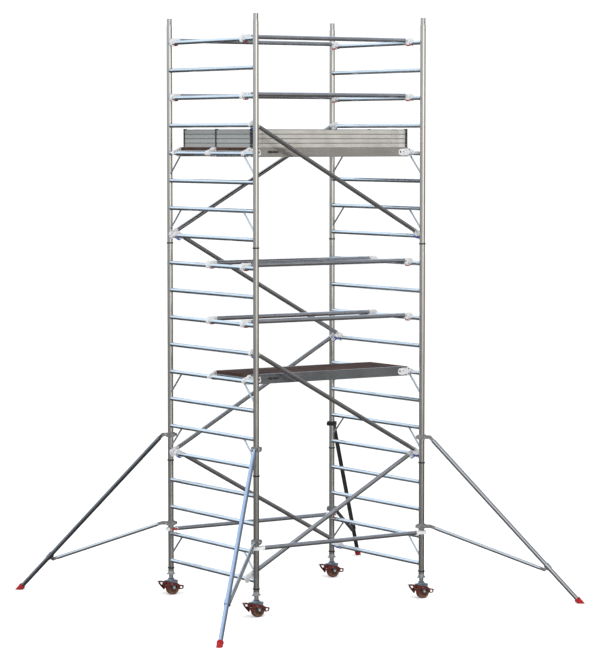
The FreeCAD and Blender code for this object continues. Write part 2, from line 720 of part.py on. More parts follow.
def fork():
    """Pressed fork: crown with a domed race, two cheeks, pedal studs."""
    crown_top = CROWN_Z + CROWN_THICK
    crown = block((CROWN_X[0], -FORK_OUT, CROWN_Z), (CROWN_X[1], FORK_OUT, crown_top))
    dome = Part.makeCone(*DOME_R, HEAD_Z - 0.4 - crown_top, V(0, 0, crown_top))
    shell = joined([crown, dome])
    shell = shell.cut(rod(RACE_R, V(0, 0, CROWN_Z - 1), V(0, 0, RACE_TOP)))
    shell = shell.cut(rod(KING_R + 0.05, V(0, 0, RACE_TOP - 4), V(0, 0, HEAD_Z + 5)))
    cheek = [
        (-40, CROWN_Z + 1), (52, CROWN_Z + 1), (50, 112), (TRAIL + 14, 74), (TRAIL + 10, 54),
        (TRAIL, 49), (TRAIL - 10, 54), (TRAIL - 14, 74), (-26, 100), (-40, 114),
    ]
    parts = [shell]
    for side in (-1, 1):
        y_low, y_high = sorted((side * FORK_IN, side * FORK_OUT))
        parts.append(plate_xz(cheek, y_low, y_high))
        x, z = PEDAL_PIVOT
        parts.append(rod(PEDAL_STUD_R, V(x, side * FORK_IN, z), V(x, side * (PEDAL_OUT + 2), z)))
    holes = rod(AXLE_R + 0.2, V(TRAIL, -50, WHEEL_R), V(TRAIL, 50, WHEEL_R))
    return joined(parts).cut(holes)


def axle():
    """A plain shaft through both cheeks, with a round nut on each end."""
    end = FORK_OUT + AXLE_NUT_LONG + 0.1
    shaft = rod(AXLE_R, V(TRAIL, -end, WHEEL_R), V(TRAIL, end, WHEEL_R))
    nuts = []
    for side in (-1, 1):
        start = V(TRAIL, side * (FORK_OUT + 0.1), WHEEL_R)
        nut = rod(AXLE_NUT_R, start, start.add(V(0, side * AXLE_NUT_LONG, 0)))
        nuts.append(nut.cut(shaft))
    return [shaft] + nuts


def wheel():
    """Solid tyre, recessed web and hub as one moulded wheel."""
    half = WHEEL_HALF
    outline = [
        (AXLE_R + 0.06, -FORK_IN + 0.6), (HUB_R, -FORK_IN + 0.6), (HUB_R, -10), (42, -10),
        (46, -half), (WHEEL_R - 6, -half), (WHEEL_R - 1.5, -half + 4), (WHEEL_R, -half + 10),
        (WHEEL_R, half - 10), (WHEEL_R - 1.5, half - 4), (WHEEL_R - 6, half), (46, half),
        (42, 10), (HUB_R, 10), (HUB_R, FORK_IN - 0.6), (AXLE_R + 0.06, FORK_IN - 0.6),
    ]
    section = face_of(outline, lambda r, y: V(TRAIL, y, WHEEL_R + r))
    return section.revolve(V(TRAIL, 0, WHEEL_R), V(0, 1, 0), 360)


def brake_pedal():
    """A rocker astride the wheel: a triangular loop in front and a square loop behind."""
    front = [
        (4, 114), (-48, 126), (-108, 131), (-118, 120), (-108, 100), (-74, 62), (-58, 44),
        (-48, 50), (-40, 84), (-14, 90), (4, 88),
    ]
    front_hole = [(-98, 117), (-70, 118), (-66, 96), (-86, 96)]
    back = [
        (-2, 114), (34, 110), (64, 96), (76, 86), (106, 84), (113, 76), (113, 54), (105, 47),
        (72, 45), (63, 52), (56, 72), (34, 84), (-2, 88),
    ]
    back_hole = [(77, 74), (99, 74), (99, 56), (77, 56)]
    parts = []
    for y_low, y_high in ((-PEDAL_OUT, -PEDAL_IN), (PEDAL_IN, PEDAL_OUT)):
        for outline, hole in ((front, front_hole), (back, back_hole)):
            parts.append(plate_xz(outline, y_low, y_high).cut(plate_xz(hole, y_low - 1, y_high + 1)))
    parts.append(block((-130, -PEDAL_OUT, 128), (-84, PEDAL_OUT, 132)))
    parts.append(block((104, -PEDAL_OUT, 70), (120, PEDAL_OUT, 76)))
    x, z = PEDAL_PIVOT
    stud_holes = rod(PEDAL_STUD_R + 0.06, V(x, -50, z), V(x, 50, z))
    return joined(parts).cut(stud_holes)


# ---------------------------------------------------------------- stabilisers

def in_plane(point, side=0.0):
    return V(point[0], side, point[1])


def arm_direction():
    along = V(FOOT_R - ARM_PIVOT[0], 0, -ARM_PIVOT[1])
    along.normalize()
    return along


def cuff_pivot():
    along = arm_direction()
    below = V(along.z, 0, -along.x)
    return in_plane(ARM_PIVOT).add(along * CUFF_ALONG).add(below * CUFF_DROP)


def tongue(at, along, hole_r, plug_r):
    """A flat eye on the pin at one end of a tube, with the plug that fills the tube."""
    eye = rod(EYE_R, at.sub(V(0, TONGUE, 0)), at.add(V(0, TONGUE, 0)))
    neck = block((0, -TONGUE, -EYE_R), (46, TONGUE, EYE_R))
    up = V(-along.z, 0, along.x)
    neck = aimed(neck, at, along, up)
    plug = rod(plug_r, at.add(along * 40), at.add(along * 75))
    hole = rod(hole_r, at.sub(V(0, 30, 0)), at.add(V(0, 30, 0)))
    return joined([eye, neck, plug]).cut(hole)


def clamp(pivot):
    """A two-jaw coupler round the post, its cheeks and pin for a tongue, and two bolts."""
    r_pin, z = pivot
    half = CLAMP_HALF_HIGH
    grip = rod(CLAMP_GRIP_R, V(0, 0, z - 50), V(0, 0, z + 50))
    wide = JAW_HALF_WIDE
    outer_jaw = block((1, -wide, z - half), (JAW_OUT, wide, z + half))
    inner_jaw = block((-JAW_OUT, -wide, z - half), (-1, wide, z + half))
    cheeks = []
    for side in (-1, 1):
        y_low, y_high = sorted((side * CHEEK_IN, side * CHEEK_OUT))
        cheek = block((JAW_OUT - 3, y_low, z - EYE_R), (r_pin, y_high, z + EYE_R))
        nose = rod(EYE_R, V(r_pin, y_low, z), V(r_pin, y_high, z))
        cheeks += [cheek, nose]
    bolts = []
    bolt_holes = []
    end = JAW_OUT + CLAMP_NUT_LONG + 2
    for y in (-CLAMP_BOLT_ASIDE, CLAMP_BOLT_ASIDE):
        shank = rod(CLAMP_BOLT_R, V(-end, y, z), V(end, y, z))
        nut = rod(CLAMP_NUT_R, V(JAW_OUT + 0.2, y, z), V(JAW_OUT + CLAMP_NUT_LONG, y, z))
        knob = block((-KNOB_OUT, y - KNOB_HALF_WIDE, z - KNOB_HALF_HIGH),
                     (-JAW_OUT - 0.2, y + KNOB_HALF_WIDE, z + KNOB_HALF_HIGH))
        bolts.append(joined([shank, nut, knob]))
        bolt_holes.append(rod(CLAMP_BOLT_R + 0.3, V(-end, y, z), V(end, y, z)))
    bolt_holes = joined(bolt_holes)
    front = joined([outer_jaw] + cheeks).cut(grip).cut(bolt_holes)
    back = inner_jaw.cut(grip).cut(bolt_holes)
    pin_hole = rod(PIN_R + 0.1, V(r_pin, -30, z), V(r_pin, 30, z))
    return [front.cut(pin_hole), back] + bolts


def pivot_pin(at):
    pin = rod(PIN_R, at.sub(V(0, CHEEK_OUT + 5, 0)), at.add(V(0, CHEEK_OUT + 5, 0)))
    heads = []
    for side in (-1, 1):
        start = at.add(V(0, side * (CHEEK_OUT + 0.2), 0))
        heads.append(rod(10, start, start.add(V(0, side * 5, 0))))
    return joined([pin] + heads)


def stabiliser_arm():
    top = in_plane(ARM_PIVOT)
    along = arm_direction()
    foot = top.add(along * (FOOT_R - ARM_PIVOT[0]) / along.x)
    length = foot.sub(top).Length
    bar = tube(ARM_TUBE_R, ARM_BORE, top.add(along * 46.2), top.add(along * (length - CAP_SOCKET_UP - 1)))
    eye = tongue(top, along, PIN_R + 0.06, ARM_BORE - 0.1)
    pivot = cuff_pivot()
    centre = top.add(along * CUFF_ALONG)
    cuff = tube(ARM_TUBE_R + 6, ARM_TUBE_R + 0.1, centre.sub(along * 28), centre.add(along * 28))
    below = pivot.sub(centre)
    below.normalize()
    ears = []
    for side in (-1, 1):
        y_low, y_high = sorted((side * CHEEK_IN, side * CHEEK_OUT))
        ear = block((-14, y_low, ARM_TUBE_R + 1), (14, y_high, CUFF_DROP))
        ears.append(aimed(ear, centre, along * -1, below))
        ears.append(rod(14, V(pivot.x, y_low, pivot.z), V(pivot.x, y_high, pivot.z)))
    hole = rod(PIN_R + 0.1, pivot.sub(V(0, 30, 0)), pivot.add(V(0, 30, 0)))
    clear = rod(ARM_TUBE_R + 0.1, centre.sub(along * 60), centre.add(along * 60))
    return [bar, eye, joined([cuff] + ears).cut(clear).cut(hole), pivot_pin(pivot)]


def stabiliser_foot():
    """A rubber cup over the arm's end, cut flat where it meets the floor."""
    top = in_plane(ARM_PIVOT)
    along = arm_direction()
    length = (FOOT_R - ARM_PIVOT[0]) / along.x
    mouth = length - CAP_UP
    cup = rod(CAP_R, top.add(along * mouth), top.add(along * (length + CAP_UP)))
    socket = rod(ARM_TUBE_R + 0.2, top.add(along * (mouth - 5)),
                 top.add(along * (length - CAP_SOCKET_UP)))
    above_floor = block((FOOT_R - 400, -60, 0), (FOOT_R + 400, 60, 400))
    rim = rod(CAP_RIM_R, top.add(along * (mouth + 10)), top.add(along * (mouth + 18)))
    return joined([cup, rim]).cut(socket).common(above_floor)


def stabiliser_strut():
    start = in_plane(STRUT_PIVOT)
    end = cuff_pivot()
    along = end.sub(start)
    along.normalize()
    bar = tube(STRUT_R, STRUT_BORE, start.add(along * 46.2), end.sub(along * 46.2))
    lower_eye = tongue(start, along, OPEN_EYE_R, STRUT_BORE - 0.1)
    upper_eye = tongue(end, along * -1, PIN_R + 0.06, STRUT_BORE - 0.1)
    return [bar, lower_eye, upper_eye]


def at_corner(solids, sides, turned=0.0):
    """Copies of solids at one post, turned about its axis."""
    copies = []
    for solid in solids:
        copy = solid.copy()
        copy.rotate(V(0, 0, 0), V(0, 0, 1), turned)
        copies.append(moved(copy, V(sides[0] * HALF_BAY, sides[1] * HALF_WIDTH, 0)))
    return copies


# ---------------------------------------------------------------- export

def save_frames():
    for name, side in (("left", -1), ("right", 1)):
        for level, part in enumerate(("base", "middle", "top")):
            save(f"end_frame_{name}_{part}", end_frame(side * HALF_BAY, level))
    posts = [(sx * HALF_BAY, sy * HALF_WIDTH) for sx, sy in CORNERS.values()]
    spigots = [spigot(x, y, z) for x, y in posts for z in JOINTS[1:]]
    for x, y in posts:
        for z in JOINTS:
            spigots += joint_rivets(x, y, z)
    save("frame_spigots", spigots)
    clips = [interlock_clip(x, y, z + CLIP_HOLE_UP) for x, y in posts for z in JOINTS[:3]]
    save("interlock_clips", clips)


def save_braces():
    diagonals, horizontals = all_braces()
    save("diagonal_braces", [bar for bar, _, _ in diagonals])
    save("horizontal_braces", [bar for bar, _, _ in horizontals])
    save("brace_claws", [one for _, claws, _ in diagonals + horizontals for one in claws])
    save("diagonal_latches", [one for _, _, latches in diagonals for one in latches])
    save("horizontal_latches", [one for _, _, latches in horizontals for one in latches])


def save_platforms():
    lower, upper = rung_z(LOWER_RUNG), rung_z(UPPER_RUNG)
    near = [(NEAR_PLATFORM_Y, lower), (NEAR_PLATFORM_Y, upper)]
    far = (FAR_PLATFORM_Y, upper)
    frames = [solid for y, z in near for solid in platform_frame(y, z)]
    frames += opened_frame(upper) + hatch_hinge_brackets()
    save("platform_frames", frames)
    places = near + [far]
    open_faces = ((-1, 1), (-1,), (1,))
    hooks = []
    for (y, z), faces in zip(places, open_faces):
        hooks += platform_hooks(y, z, faces)
    save("platform_hooks", hooks)
    decks = [deck(y, z) for y, z in near] + [deck_with_opening(upper)]
    decks += [batten for y, z in places for batten in edge_battens(y, z)]
    save("platform_decks", decks)
    save("access_hatch", hatch())
    save("wind_locks", all_wind_locks())
    save("toe_boards", toe_boards())
    save("toe_board_clips", toe_clips())


def save_castors():
    pieces = {
        "adjustable_leg": [leg()],
        "adjusting_nut": [adjusting_nut()],
        "castor_fork": [fork()] + axle(),
        "castor_wheel": [wheel()],
        "brake_pedal": [brake_pedal()],
    }
    for corner, sides in CORNERS.items():
        for name, solids in pieces.items():
            save(f"{name}_{corner}", at_corner(solids, sides))


def save_stabilisers():
    pieces = {
        "stabiliser_upper_clamp": clamp(ARM_PIVOT) + [pivot_pin(in_plane(ARM_PIVOT))],
        "stabiliser_lower_clamp": clamp(STRUT_PIVOT) + [pivot_pin(in_plane(STRUT_PIVOT))],
        "stabiliser_arm": stabiliser_arm(),
        "stabiliser_strut": stabiliser_strut(),
        "stabiliser_foot": [stabiliser_foot()],
    }
    for corner, sides in CORNERS.items():
        turned = math.degrees(math.atan2(sides[1], sides[0]))
        for name, solids in pieces.items():
            save(f"{name}_{corner}", at_corner(solids, sides, turned))


os.makedirs("parts", exist_ok=True)
save_frames()
save_braces()
save_platforms()
save_castors()
save_stabilisers()
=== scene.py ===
import json
import math

import bpy
from mathutils import Matrix, Vector


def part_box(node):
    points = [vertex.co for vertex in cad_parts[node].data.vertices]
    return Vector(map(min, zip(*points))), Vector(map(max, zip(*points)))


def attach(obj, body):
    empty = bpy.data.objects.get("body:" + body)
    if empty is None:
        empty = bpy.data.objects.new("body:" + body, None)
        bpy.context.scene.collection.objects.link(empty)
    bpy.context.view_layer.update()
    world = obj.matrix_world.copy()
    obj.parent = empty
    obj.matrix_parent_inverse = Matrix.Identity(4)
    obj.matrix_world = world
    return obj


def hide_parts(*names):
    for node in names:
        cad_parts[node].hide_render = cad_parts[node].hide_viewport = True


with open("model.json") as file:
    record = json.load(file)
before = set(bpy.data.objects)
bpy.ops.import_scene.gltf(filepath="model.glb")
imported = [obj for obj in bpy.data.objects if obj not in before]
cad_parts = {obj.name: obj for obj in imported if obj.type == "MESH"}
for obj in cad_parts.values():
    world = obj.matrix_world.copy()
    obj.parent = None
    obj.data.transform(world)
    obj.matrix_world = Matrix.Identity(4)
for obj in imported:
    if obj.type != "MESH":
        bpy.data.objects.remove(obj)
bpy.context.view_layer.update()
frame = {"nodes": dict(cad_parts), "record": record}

NODES = frame["nodes"]
CORNERS = ("near_left", "near_right", "far_left", "far_right")

# Tube radii and spacings of the tower, metres
POST_R = 0.0254
RUNG_R = 0.019
GUSSET_R = 0.008
RUNG_PITCH = 0.250
FIRST_RUNG_UP = 0.097        # above the lowest frame's foot
GUSSET_RUNGS = (2, 6, 8, 14, 16)
GUSSET_ALONG_RUNG = 0.190
GUSSET_DOWN_POST = 0.180
UP = Vector((0, 0, 1))
SWAP_Y_Z = Matrix(((1, 0, 0, 0), (0, 0, 1, 0), (0, 1, 0, 0), (0, 0, 0, 1)))


# ---------------------------------------------------------------- places read from the frame

def centre(node):
    low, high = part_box(node)
    return (low + high) / 2


def post_x(side):
    return centre(f"end_frame_{side}_base").x


POST_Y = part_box("end_frame_left_base")[1].y - POST_R
FRAME_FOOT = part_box("end_frame_left_base")[0].z


def rung_z(number):
    return FRAME_FOOT + FIRST_RUNG_UP + RUNG_PITCH * (number - 1)


# ---------------------------------------------------------------- material nodes

class Shader:
    """A principled material with short calls for its procedural nodes."""

    def __init__(self, name, **values):
        self.material = bpy.data.materials.new(name)
        self.material.use_nodes = True
        self.tree = self.material.node_tree
        self.surface = self.tree.nodes["Principled BSDF"]
        for socket, value in values.items():
            self.surface.inputs[socket.replace("_", " ")].default_value = value
        self.place = self.node("ShaderNodeTexCoord").outputs["Object"]

    def node(self, kind, **settings):
        made = self.tree.nodes.new(kind)
        for key, value in settings.items():
            setattr(made, key, value)
        return made

    def link(self, source, target):
        self.tree.links.new(source, target)

    def stretched(self, scale, turn=(0, 0, 0)):
        mapping = self.node("ShaderNodeMapping")
        mapping.inputs["Scale"].default_value = scale
        mapping.inputs["Rotation"].default_value = turn
        self.link(self.place, mapping.inputs["Vector"])
        return mapping.outputs["Vector"]

    def noise(self, scale, detail=4.0, roughness=0.55, vector=None):
        made = self.node("ShaderNodeTexNoise")
        made.inputs["Scale"].default_value = scale
        made.inputs["Detail"].default_value = detail
        made.inputs["Roughness"].default_value = roughness
        self.link(vector or self.place, made.inputs["Vector"])
        return made.outputs["Fac"]

    def cells(self, scale):
        made = self.node("ShaderNodeTexVoronoi", feature="F1")
        made.inputs["Scale"].default_value = scale
        self.link(self.place, made.inputs["Vector"])
        return made.outputs["Distance"]

    def bands(self, scale, axis, vector=None):
        made = self.node("ShaderNodeTexWave", wave_type="BANDS", bands_direction=axis)
        made.inputs["Scale"].default_value = scale
        made.inputs["Distortion"].default_value = 0.0
        self.link(vector or self.place, made.inputs["Vector"])
        return made.outputs["Fac"]

    def level(self, value, low, high, to_low=0.0, to_high=1.0):
        made = self.node("ShaderNodeMapRange")
        ends = {"From Min": low, "From Max": high, "To Min": to_low, "To Max": to_high}
        for socket, number in ends.items():
            made.inputs[socket].default_value = number
        self.link(value, made.inputs["Value"])
        return made.outputs["Result"]

    def math(self, operation, first, second=None):
        made = self.node("ShaderNodeMath", operation=operation)
        for socket, value in zip(made.inputs, (first, second)):
            if isinstance(value, (int, float)):
                socket.default_value = value
            elif value is not None:
                self.link(value, socket)
        return made.outputs["Value"]

    def mix(self, factor, first, second, blend="MIX"):
        made = self.node("ShaderNodeMix", data_type="RGBA", blend_type=blend)
        for socket, value in ((made.inputs[0], factor), (made.inputs[6], first), (made.inputs[7], second)):
            if isinstance(value, (int, float)):
                socket.default_value = value
            elif isinstance(value, tuple):
                socket.default_value = (*value, 1)
            else:
                self.link(value, socket)
        return made.outputs[2]

    def axis(self, letter):
        split = self.node("ShaderNodeSeparateXYZ")
        self.link(self.place, split.inputs[0])
        return split.outputs[letter]

    def colour(self, source):
        self.link(source, self.surface.inputs["Base Color"])

    def roughness(self, source):
        self.link(source, self.surface.inputs["Roughness"])

    def bump(self, height, distance, strength=1.0):
        made = self.node("ShaderNodeBump")
        made.inputs["Strength"].default_value = strength
        made.inputs["Distance"].default_value = distance
        self.link(height, made.inputs["Height"])
        previous = self.surface.inputs["Normal"].links
        if previous:
            self.link(previous[0].from_socket, made.inputs["Normal"])
        self.link(made.outputs["Normal"], self.surface.inputs["Normal"])


def drawn_metal(name, light, dark, streaks, rough=(0.16, 0.30), metallic=1.0):
    """Extruded or drawn metal: fine lines along its length, smudges and a few scuffs."""
    shader = Shader(name, Metallic=metallic)
    lines = shader.noise(1.0, 3.0, 0.6, shader.stretched(streaks))
    smudges = shader.noise(7.0, 5.0, 0.6)
    tone = shader.mix(shader.level(smudges, 0.35, 0.68), dark, light)
    tone = shader.mix(shader.level(lines, 0.30, 0.70, 0.0, 0.35), tone, tuple(0.82 * c for c in dark))
    scuffs = shader.level(shader.noise(38.0, 8.0, 0.72), 0.66, 0.74)
    shader.colour(shader.mix(shader.math("MULTIPLY", scuffs, 0.30), tone, tuple(0.60 * c for c in dark)))
    grain = shader.mix(0.5, smudges, lines)
    shader.roughness(shader.level(grain, 0.3, 0.7, *rough))
    shader.bump(lines, 0.00003, 0.5)
    return shader


def frame_metal():
    """Posts with lines along Z, and fluted rungs with lines along Y, in one welded frame; the rungs are
    painted a lighter, bluer tone than the posts as painted sky reflection.
    """
    shader = Shader("frame_aluminium", Metallic=1.0)
    height = shader.noise(1.0, 3.0, 0.6, shader.stretched((420, 420, 5)))
    length = shader.noise(1.0, 3.0, 0.6, shader.stretched((420, 5, 420)))
    inside = shader.math("ABSOLUTE", shader.axis("Y"))
    on_rung = shader.math("LESS_THAN", inside, POST_Y - POST_R - 0.0004)
    lines = shader.mix(on_rung, height, length)
    smudges = shader.noise(5.0, 6.0, 0.62)
    post = shader.mix(shader.level(smudges, 0.34, 0.68), (0.66, 0.645, 0.62), (0.72, 0.705, 0.68))
    # painted sky reflection: the rungs get a lighter, bluish copy of the posts' aluminium
    rung = shader.mix(shader.level(smudges, 0.34, 0.68), (0.84, 0.87, 0.90), (0.95, 0.97, 0.99))
    tone = shader.mix(on_rung, post, rung)
    tone = shader.mix(shader.level(lines, 0.3, 0.72, 0.0, 0.12), tone, (0.40, 0.38, 0.36))
    heat = shader.level(inside, POST_Y - POST_R - 0.020, POST_Y - POST_R - 0.002, 0.0, 0.35)
    tone = shader.mix(shader.math("MULTIPLY", heat, on_rung), tone, (0.52, 0.50, 0.48))
    scuffs = shader.level(shader.noise(45.0, 8.0, 0.7), 0.66, 0.75, 0.0, 0.22)
    shader.colour(shader.mix(scuffs, tone, (0.30, 0.28, 0.27)))
    shader.roughness(shader.level(shader.mix(0.5, smudges, lines), 0.3, 0.7, 0.12, 0.20))
    flutes = shader.bands(90.0, "Z")
    shader.bump(shader.math("MULTIPLY", flutes, on_rung), 0.00030, 0.5)
    shader.bump(lines, 0.00002, 0.4)
    return shader


def cast_metal(name, light, dark, rough=(0.38, 0.60), metallic=0.85):
    """Blasted casting with grainy skin and rubbed patches."""
    shader = Shader(name, Metallic=metallic)
    patches = shader.noise(22.0, 6.0, 0.65)
    grain = shader.noise(900.0, 2.0, 0.5)
    tone = shader.mix(shader.level(patches, 0.36, 0.66), dark, light)
    shader.colour(shader.mix(shader.level(grain, 0.45, 0.8, 0.0, 0.35), tone, tuple(0.7 * c for c in dark)))
    shader.roughness(shader.level(patches, 0.3, 0.7, *rough))
    shader.bump(grain, 0.0004, 0.5)
    shader.bump(patches, 0.0010, 0.35)
    return shader


def moulded_plastic(name, light, dark, rough=(0.28, 0.46), gloss=0.5):
    """Injection-moulded plastic: faint mottling, leathery grain and dulled rub marks."""
    shader = Shader(name, Metallic=0.0)
    shader.surface.inputs["Specular IOR Level"].default_value = gloss
    mottle = shader.noise(60.0, 5.0, 0.6)
    rubbed = shader.level(shader.noise(110.0, 7.0, 0.7), 0.62, 0.74, 0.0, 0.4)
    tone = shader.mix(shader.level(mottle, 0.35, 0.65), dark, light)
    faded = tuple(min(1.0, 0.75 * c + 0.12) for c in light)
    shader.colour(shader.mix(rubbed, tone, faded))
    shader.roughness(shader.level(mottle, 0.3, 0.7, *rough))
    shader.bump(shader.cells(700.0), 0.0003, 0.4)
    return shader


def deck_ply():
    """Phenolic-faced plywood: a printed diamond grip on top, veneers at the edges, worn film."""
    shader = Shader("deck_plywood", Metallic=0.0)
    veneer = shader.noise(1.0, 5.0, 0.6, shader.stretched((3.0, 46.0, 260.0)))
    cloud = shader.noise(3.5, 6.0, 0.6)
    tone = shader.mix(shader.level(veneer, 0.35, 0.65), (0.022, 0.012, 0.010), (0.070, 0.034, 0.026))
    dust = shader.level(cloud, 0.45, 0.75, 0.0, 0.30)
    tone = shader.mix(dust, tone, (0.19, 0.13, 0.11))
    worn = shader.level(shader.noise(26.0, 9.0, 0.75), 0.64, 0.72, 0.0, 0.55)
    shader.colour(shader.mix(worn, tone, (0.15, 0.085, 0.060)))
    shader.roughness(shader.level(cloud, 0.3, 0.7, 0.62, 0.86))
    slanted = shader.stretched((1.0, 1.0, 1.0), (0, 0, math.radians(45)))
    diamonds = shader.math("MULTIPLY", shader.bands(26.0, "X", slanted), shader.bands(26.0, "Y", slanted))
    shader.bump(diamonds, 0.0011, 0.7)
    shader.bump(veneer, 0.0003, 0.4)
    shader.surface.inputs["Specular IOR Level"].default_value = 0.08
    return shader


def solid_rubber(name, light, dark, rough=(0.55, 0.78)):
    """Moulded rubber with a dusty, slightly pitted skin."""
    shader = Shader(name, Metallic=0.0)
    dust = shader.noise(40.0, 7.0, 0.7)
    tone = shader.mix(shader.level(dust, 0.35, 0.68), dark, light)
    grey = tuple(0.6 * c + 0.07 for c in light)
    shader.colour(shader.mix(shader.level(shader.noise(15.0, 6.0, 0.7), 0.56, 0.75, 0.0, 0.5), tone, grey))
    shader.roughness(shader.level(dust, 0.3, 0.7, *rough))
    shader.bump(shader.noise(600.0, 3.0, 0.6), 0.0005, 0.6)
    shader.surface.inputs["Specular IOR Level"].default_value = 0.35
    return shader


def tyre_rubber():
    """Dark red tread between brown flanks, both dusty from the ground."""
    shader = Shader("tread_rubber", Metallic=0.0)
    place = shader.node("ShaderNodeTexCoord")
    split = shader.node("ShaderNodeSeparateXYZ")
    shader.link(place.outputs["Normal"], split.inputs[0])
    flank = shader.level(shader.math("ABSOLUTE", split.outputs["Y"]), 0.55, 0.80)
    dust = shader.noise(40.0, 7.0, 0.7)
    red = shader.mix(shader.level(dust, 0.35, 0.68), (0.080, 0.008, 0.007), (0.150, 0.014, 0.012))
    brown = shader.mix(shader.level(dust, 0.35, 0.68), (0.070, 0.036, 0.022), (0.130, 0.066, 0.042))
    shader.colour(shader.mix(flank, red, brown))
    shader.roughness(shader.level(dust, 0.3, 0.7, 0.55, 0.78))
    shader.bump(shader.noise(600.0, 3.0, 0.6), 0.0005, 0.6)
    return shader


def weld_metal():
    """Fish-scaled weld bead, brighter than the tube beside it and faintly sooted."""
    shader = Shader("weld_bead", Metallic=1.0)
    soot = shader.noise(160.0, 5.0, 0.65)
    shader.colour(shader.mix(shader.level(soot, 0.35, 0.7), (0.34, 0.33, 0.31), (0.74, 0.73, 0.71)))
    shader.roughness(shader.level(soot, 0.3, 0.7, 0.30, 0.50))
    shader.bump(soot, 0.0004, 0.5)
    return shader


def beam_metal():
    """Grey anodised extrusion with shallow die lines along its length, painted darker below 2.6 m and
    lighter above 3.6 m as painted shade and light by height.
    """
    shader = Shader("beam_aluminium", Metallic=0.9)
    lines = shader.noise(1.0, 3.0, 0.6, shader.stretched((4, 420, 420)))
    smudges = shader.noise(4.0, 5.0, 0.6)
    # painted shade and light: the same beam is darker below 2.6 m and lighter above 3.6 m, for how light
    # falls on the two platform heights
    raised = shader.level(shader.axis("Z"), 2.6, 3.6)
    low = shader.mix(shader.level(smudges, 0.35, 0.68), (0.24, 0.26, 0.28), (0.31, 0.33, 0.35))
    high = shader.mix(shader.level(smudges, 0.35, 0.68), (0.50, 0.49, 0.46), (0.60, 0.585, 0.55))
    tone = shader.mix(raised, low, high)
    shader.colour(shader.mix(shader.level(lines, 0.30, 0.70, 0.0, 0.25), tone, (0.20, 0.20, 0.20)))
    shader.roughness(shader.level(smudges, 0.3, 0.7, 0.16, 0.28))
    shader.bump(shader.bands(28.0, "Z"), 0.0003, 0.4)
    return shader


TOE_BOTTOM = 4.1255
TOE_BAND = 0.040


def toe_board_metal():
    """Mill-finish extrusion with a dark line every 40 mm up its face, a brighter worn stretch near each end,
    and the end boards painted darker as painted shade.
    """
    shader = Shader("toe_board_aluminium", Metallic=0.6)
    lines = shader.noise(1.0, 3.0, 0.6, shader.stretched((3, 3, 420)))
    smudges = shader.noise(5.0, 5.0, 0.6)
    tone = shader.mix(shader.level(smudges, 0.35, 0.68), (0.50, 0.48, 0.45), (0.64, 0.62, 0.58))
    ends = shader.math("ABSOLUTE", shader.axis("X"))
    worn = shader.math("SUBTRACT", shader.level(ends, 0.73, 0.765), shader.level(ends, 0.785, 0.815))
    tone = shader.mix(shader.math("MULTIPLY", worn, 0.55), tone, (0.82, 0.81, 0.79))
    tone = shader.mix(shader.level(lines, 0.30, 0.70, 0.0, 0.25), tone, (0.36, 0.35, 0.33))
    # painted shade: the end boards, beyond 0.822 m from the middle, are painted darker than the long boards
    tone = shader.mix(shader.level(ends, 0.821, 0.822), tone, (0.42, 0.41, 0.39))
    # a near-black line every 40 mm up the boards' faces
    step = shader.math("DIVIDE", shader.math("SUBTRACT", shader.axis("Z"), TOE_BOTTOM), TOE_BAND)
    groove = shader.level(shader.math("FRACT", step), 0.80, 0.86)
    shader.colour(shader.mix(shader.math("MULTIPLY", groove, 0.80), tone, (0.10, 0.10, 0.10)))
    shader.roughness(shader.level(smudges, 0.3, 0.7, 0.30, 0.45))
    shader.bump(lines, 0.00004, 0.5)
    return shader


def floor_paint():
    shader = Shader("studio_floor", Metallic=0.0)
    shader.surface.inputs["Specular IOR Level"].default_value = 0.1
    tone = shader.noise(0.35, 3.0, 0.5)
    shader.colour(shader.mix(shader.level(tone, 0.3, 0.7), (0.88, 0.88, 0.88), (0.91, 0.91, 0.91)))
    shader.surface.inputs["Roughness"].default_value = 0.85
    return shader


ALONG_X = (4, 420, 420)
ALONG_Z = (420, 420, 4)
DIAGONAL = (60, 420, 60)

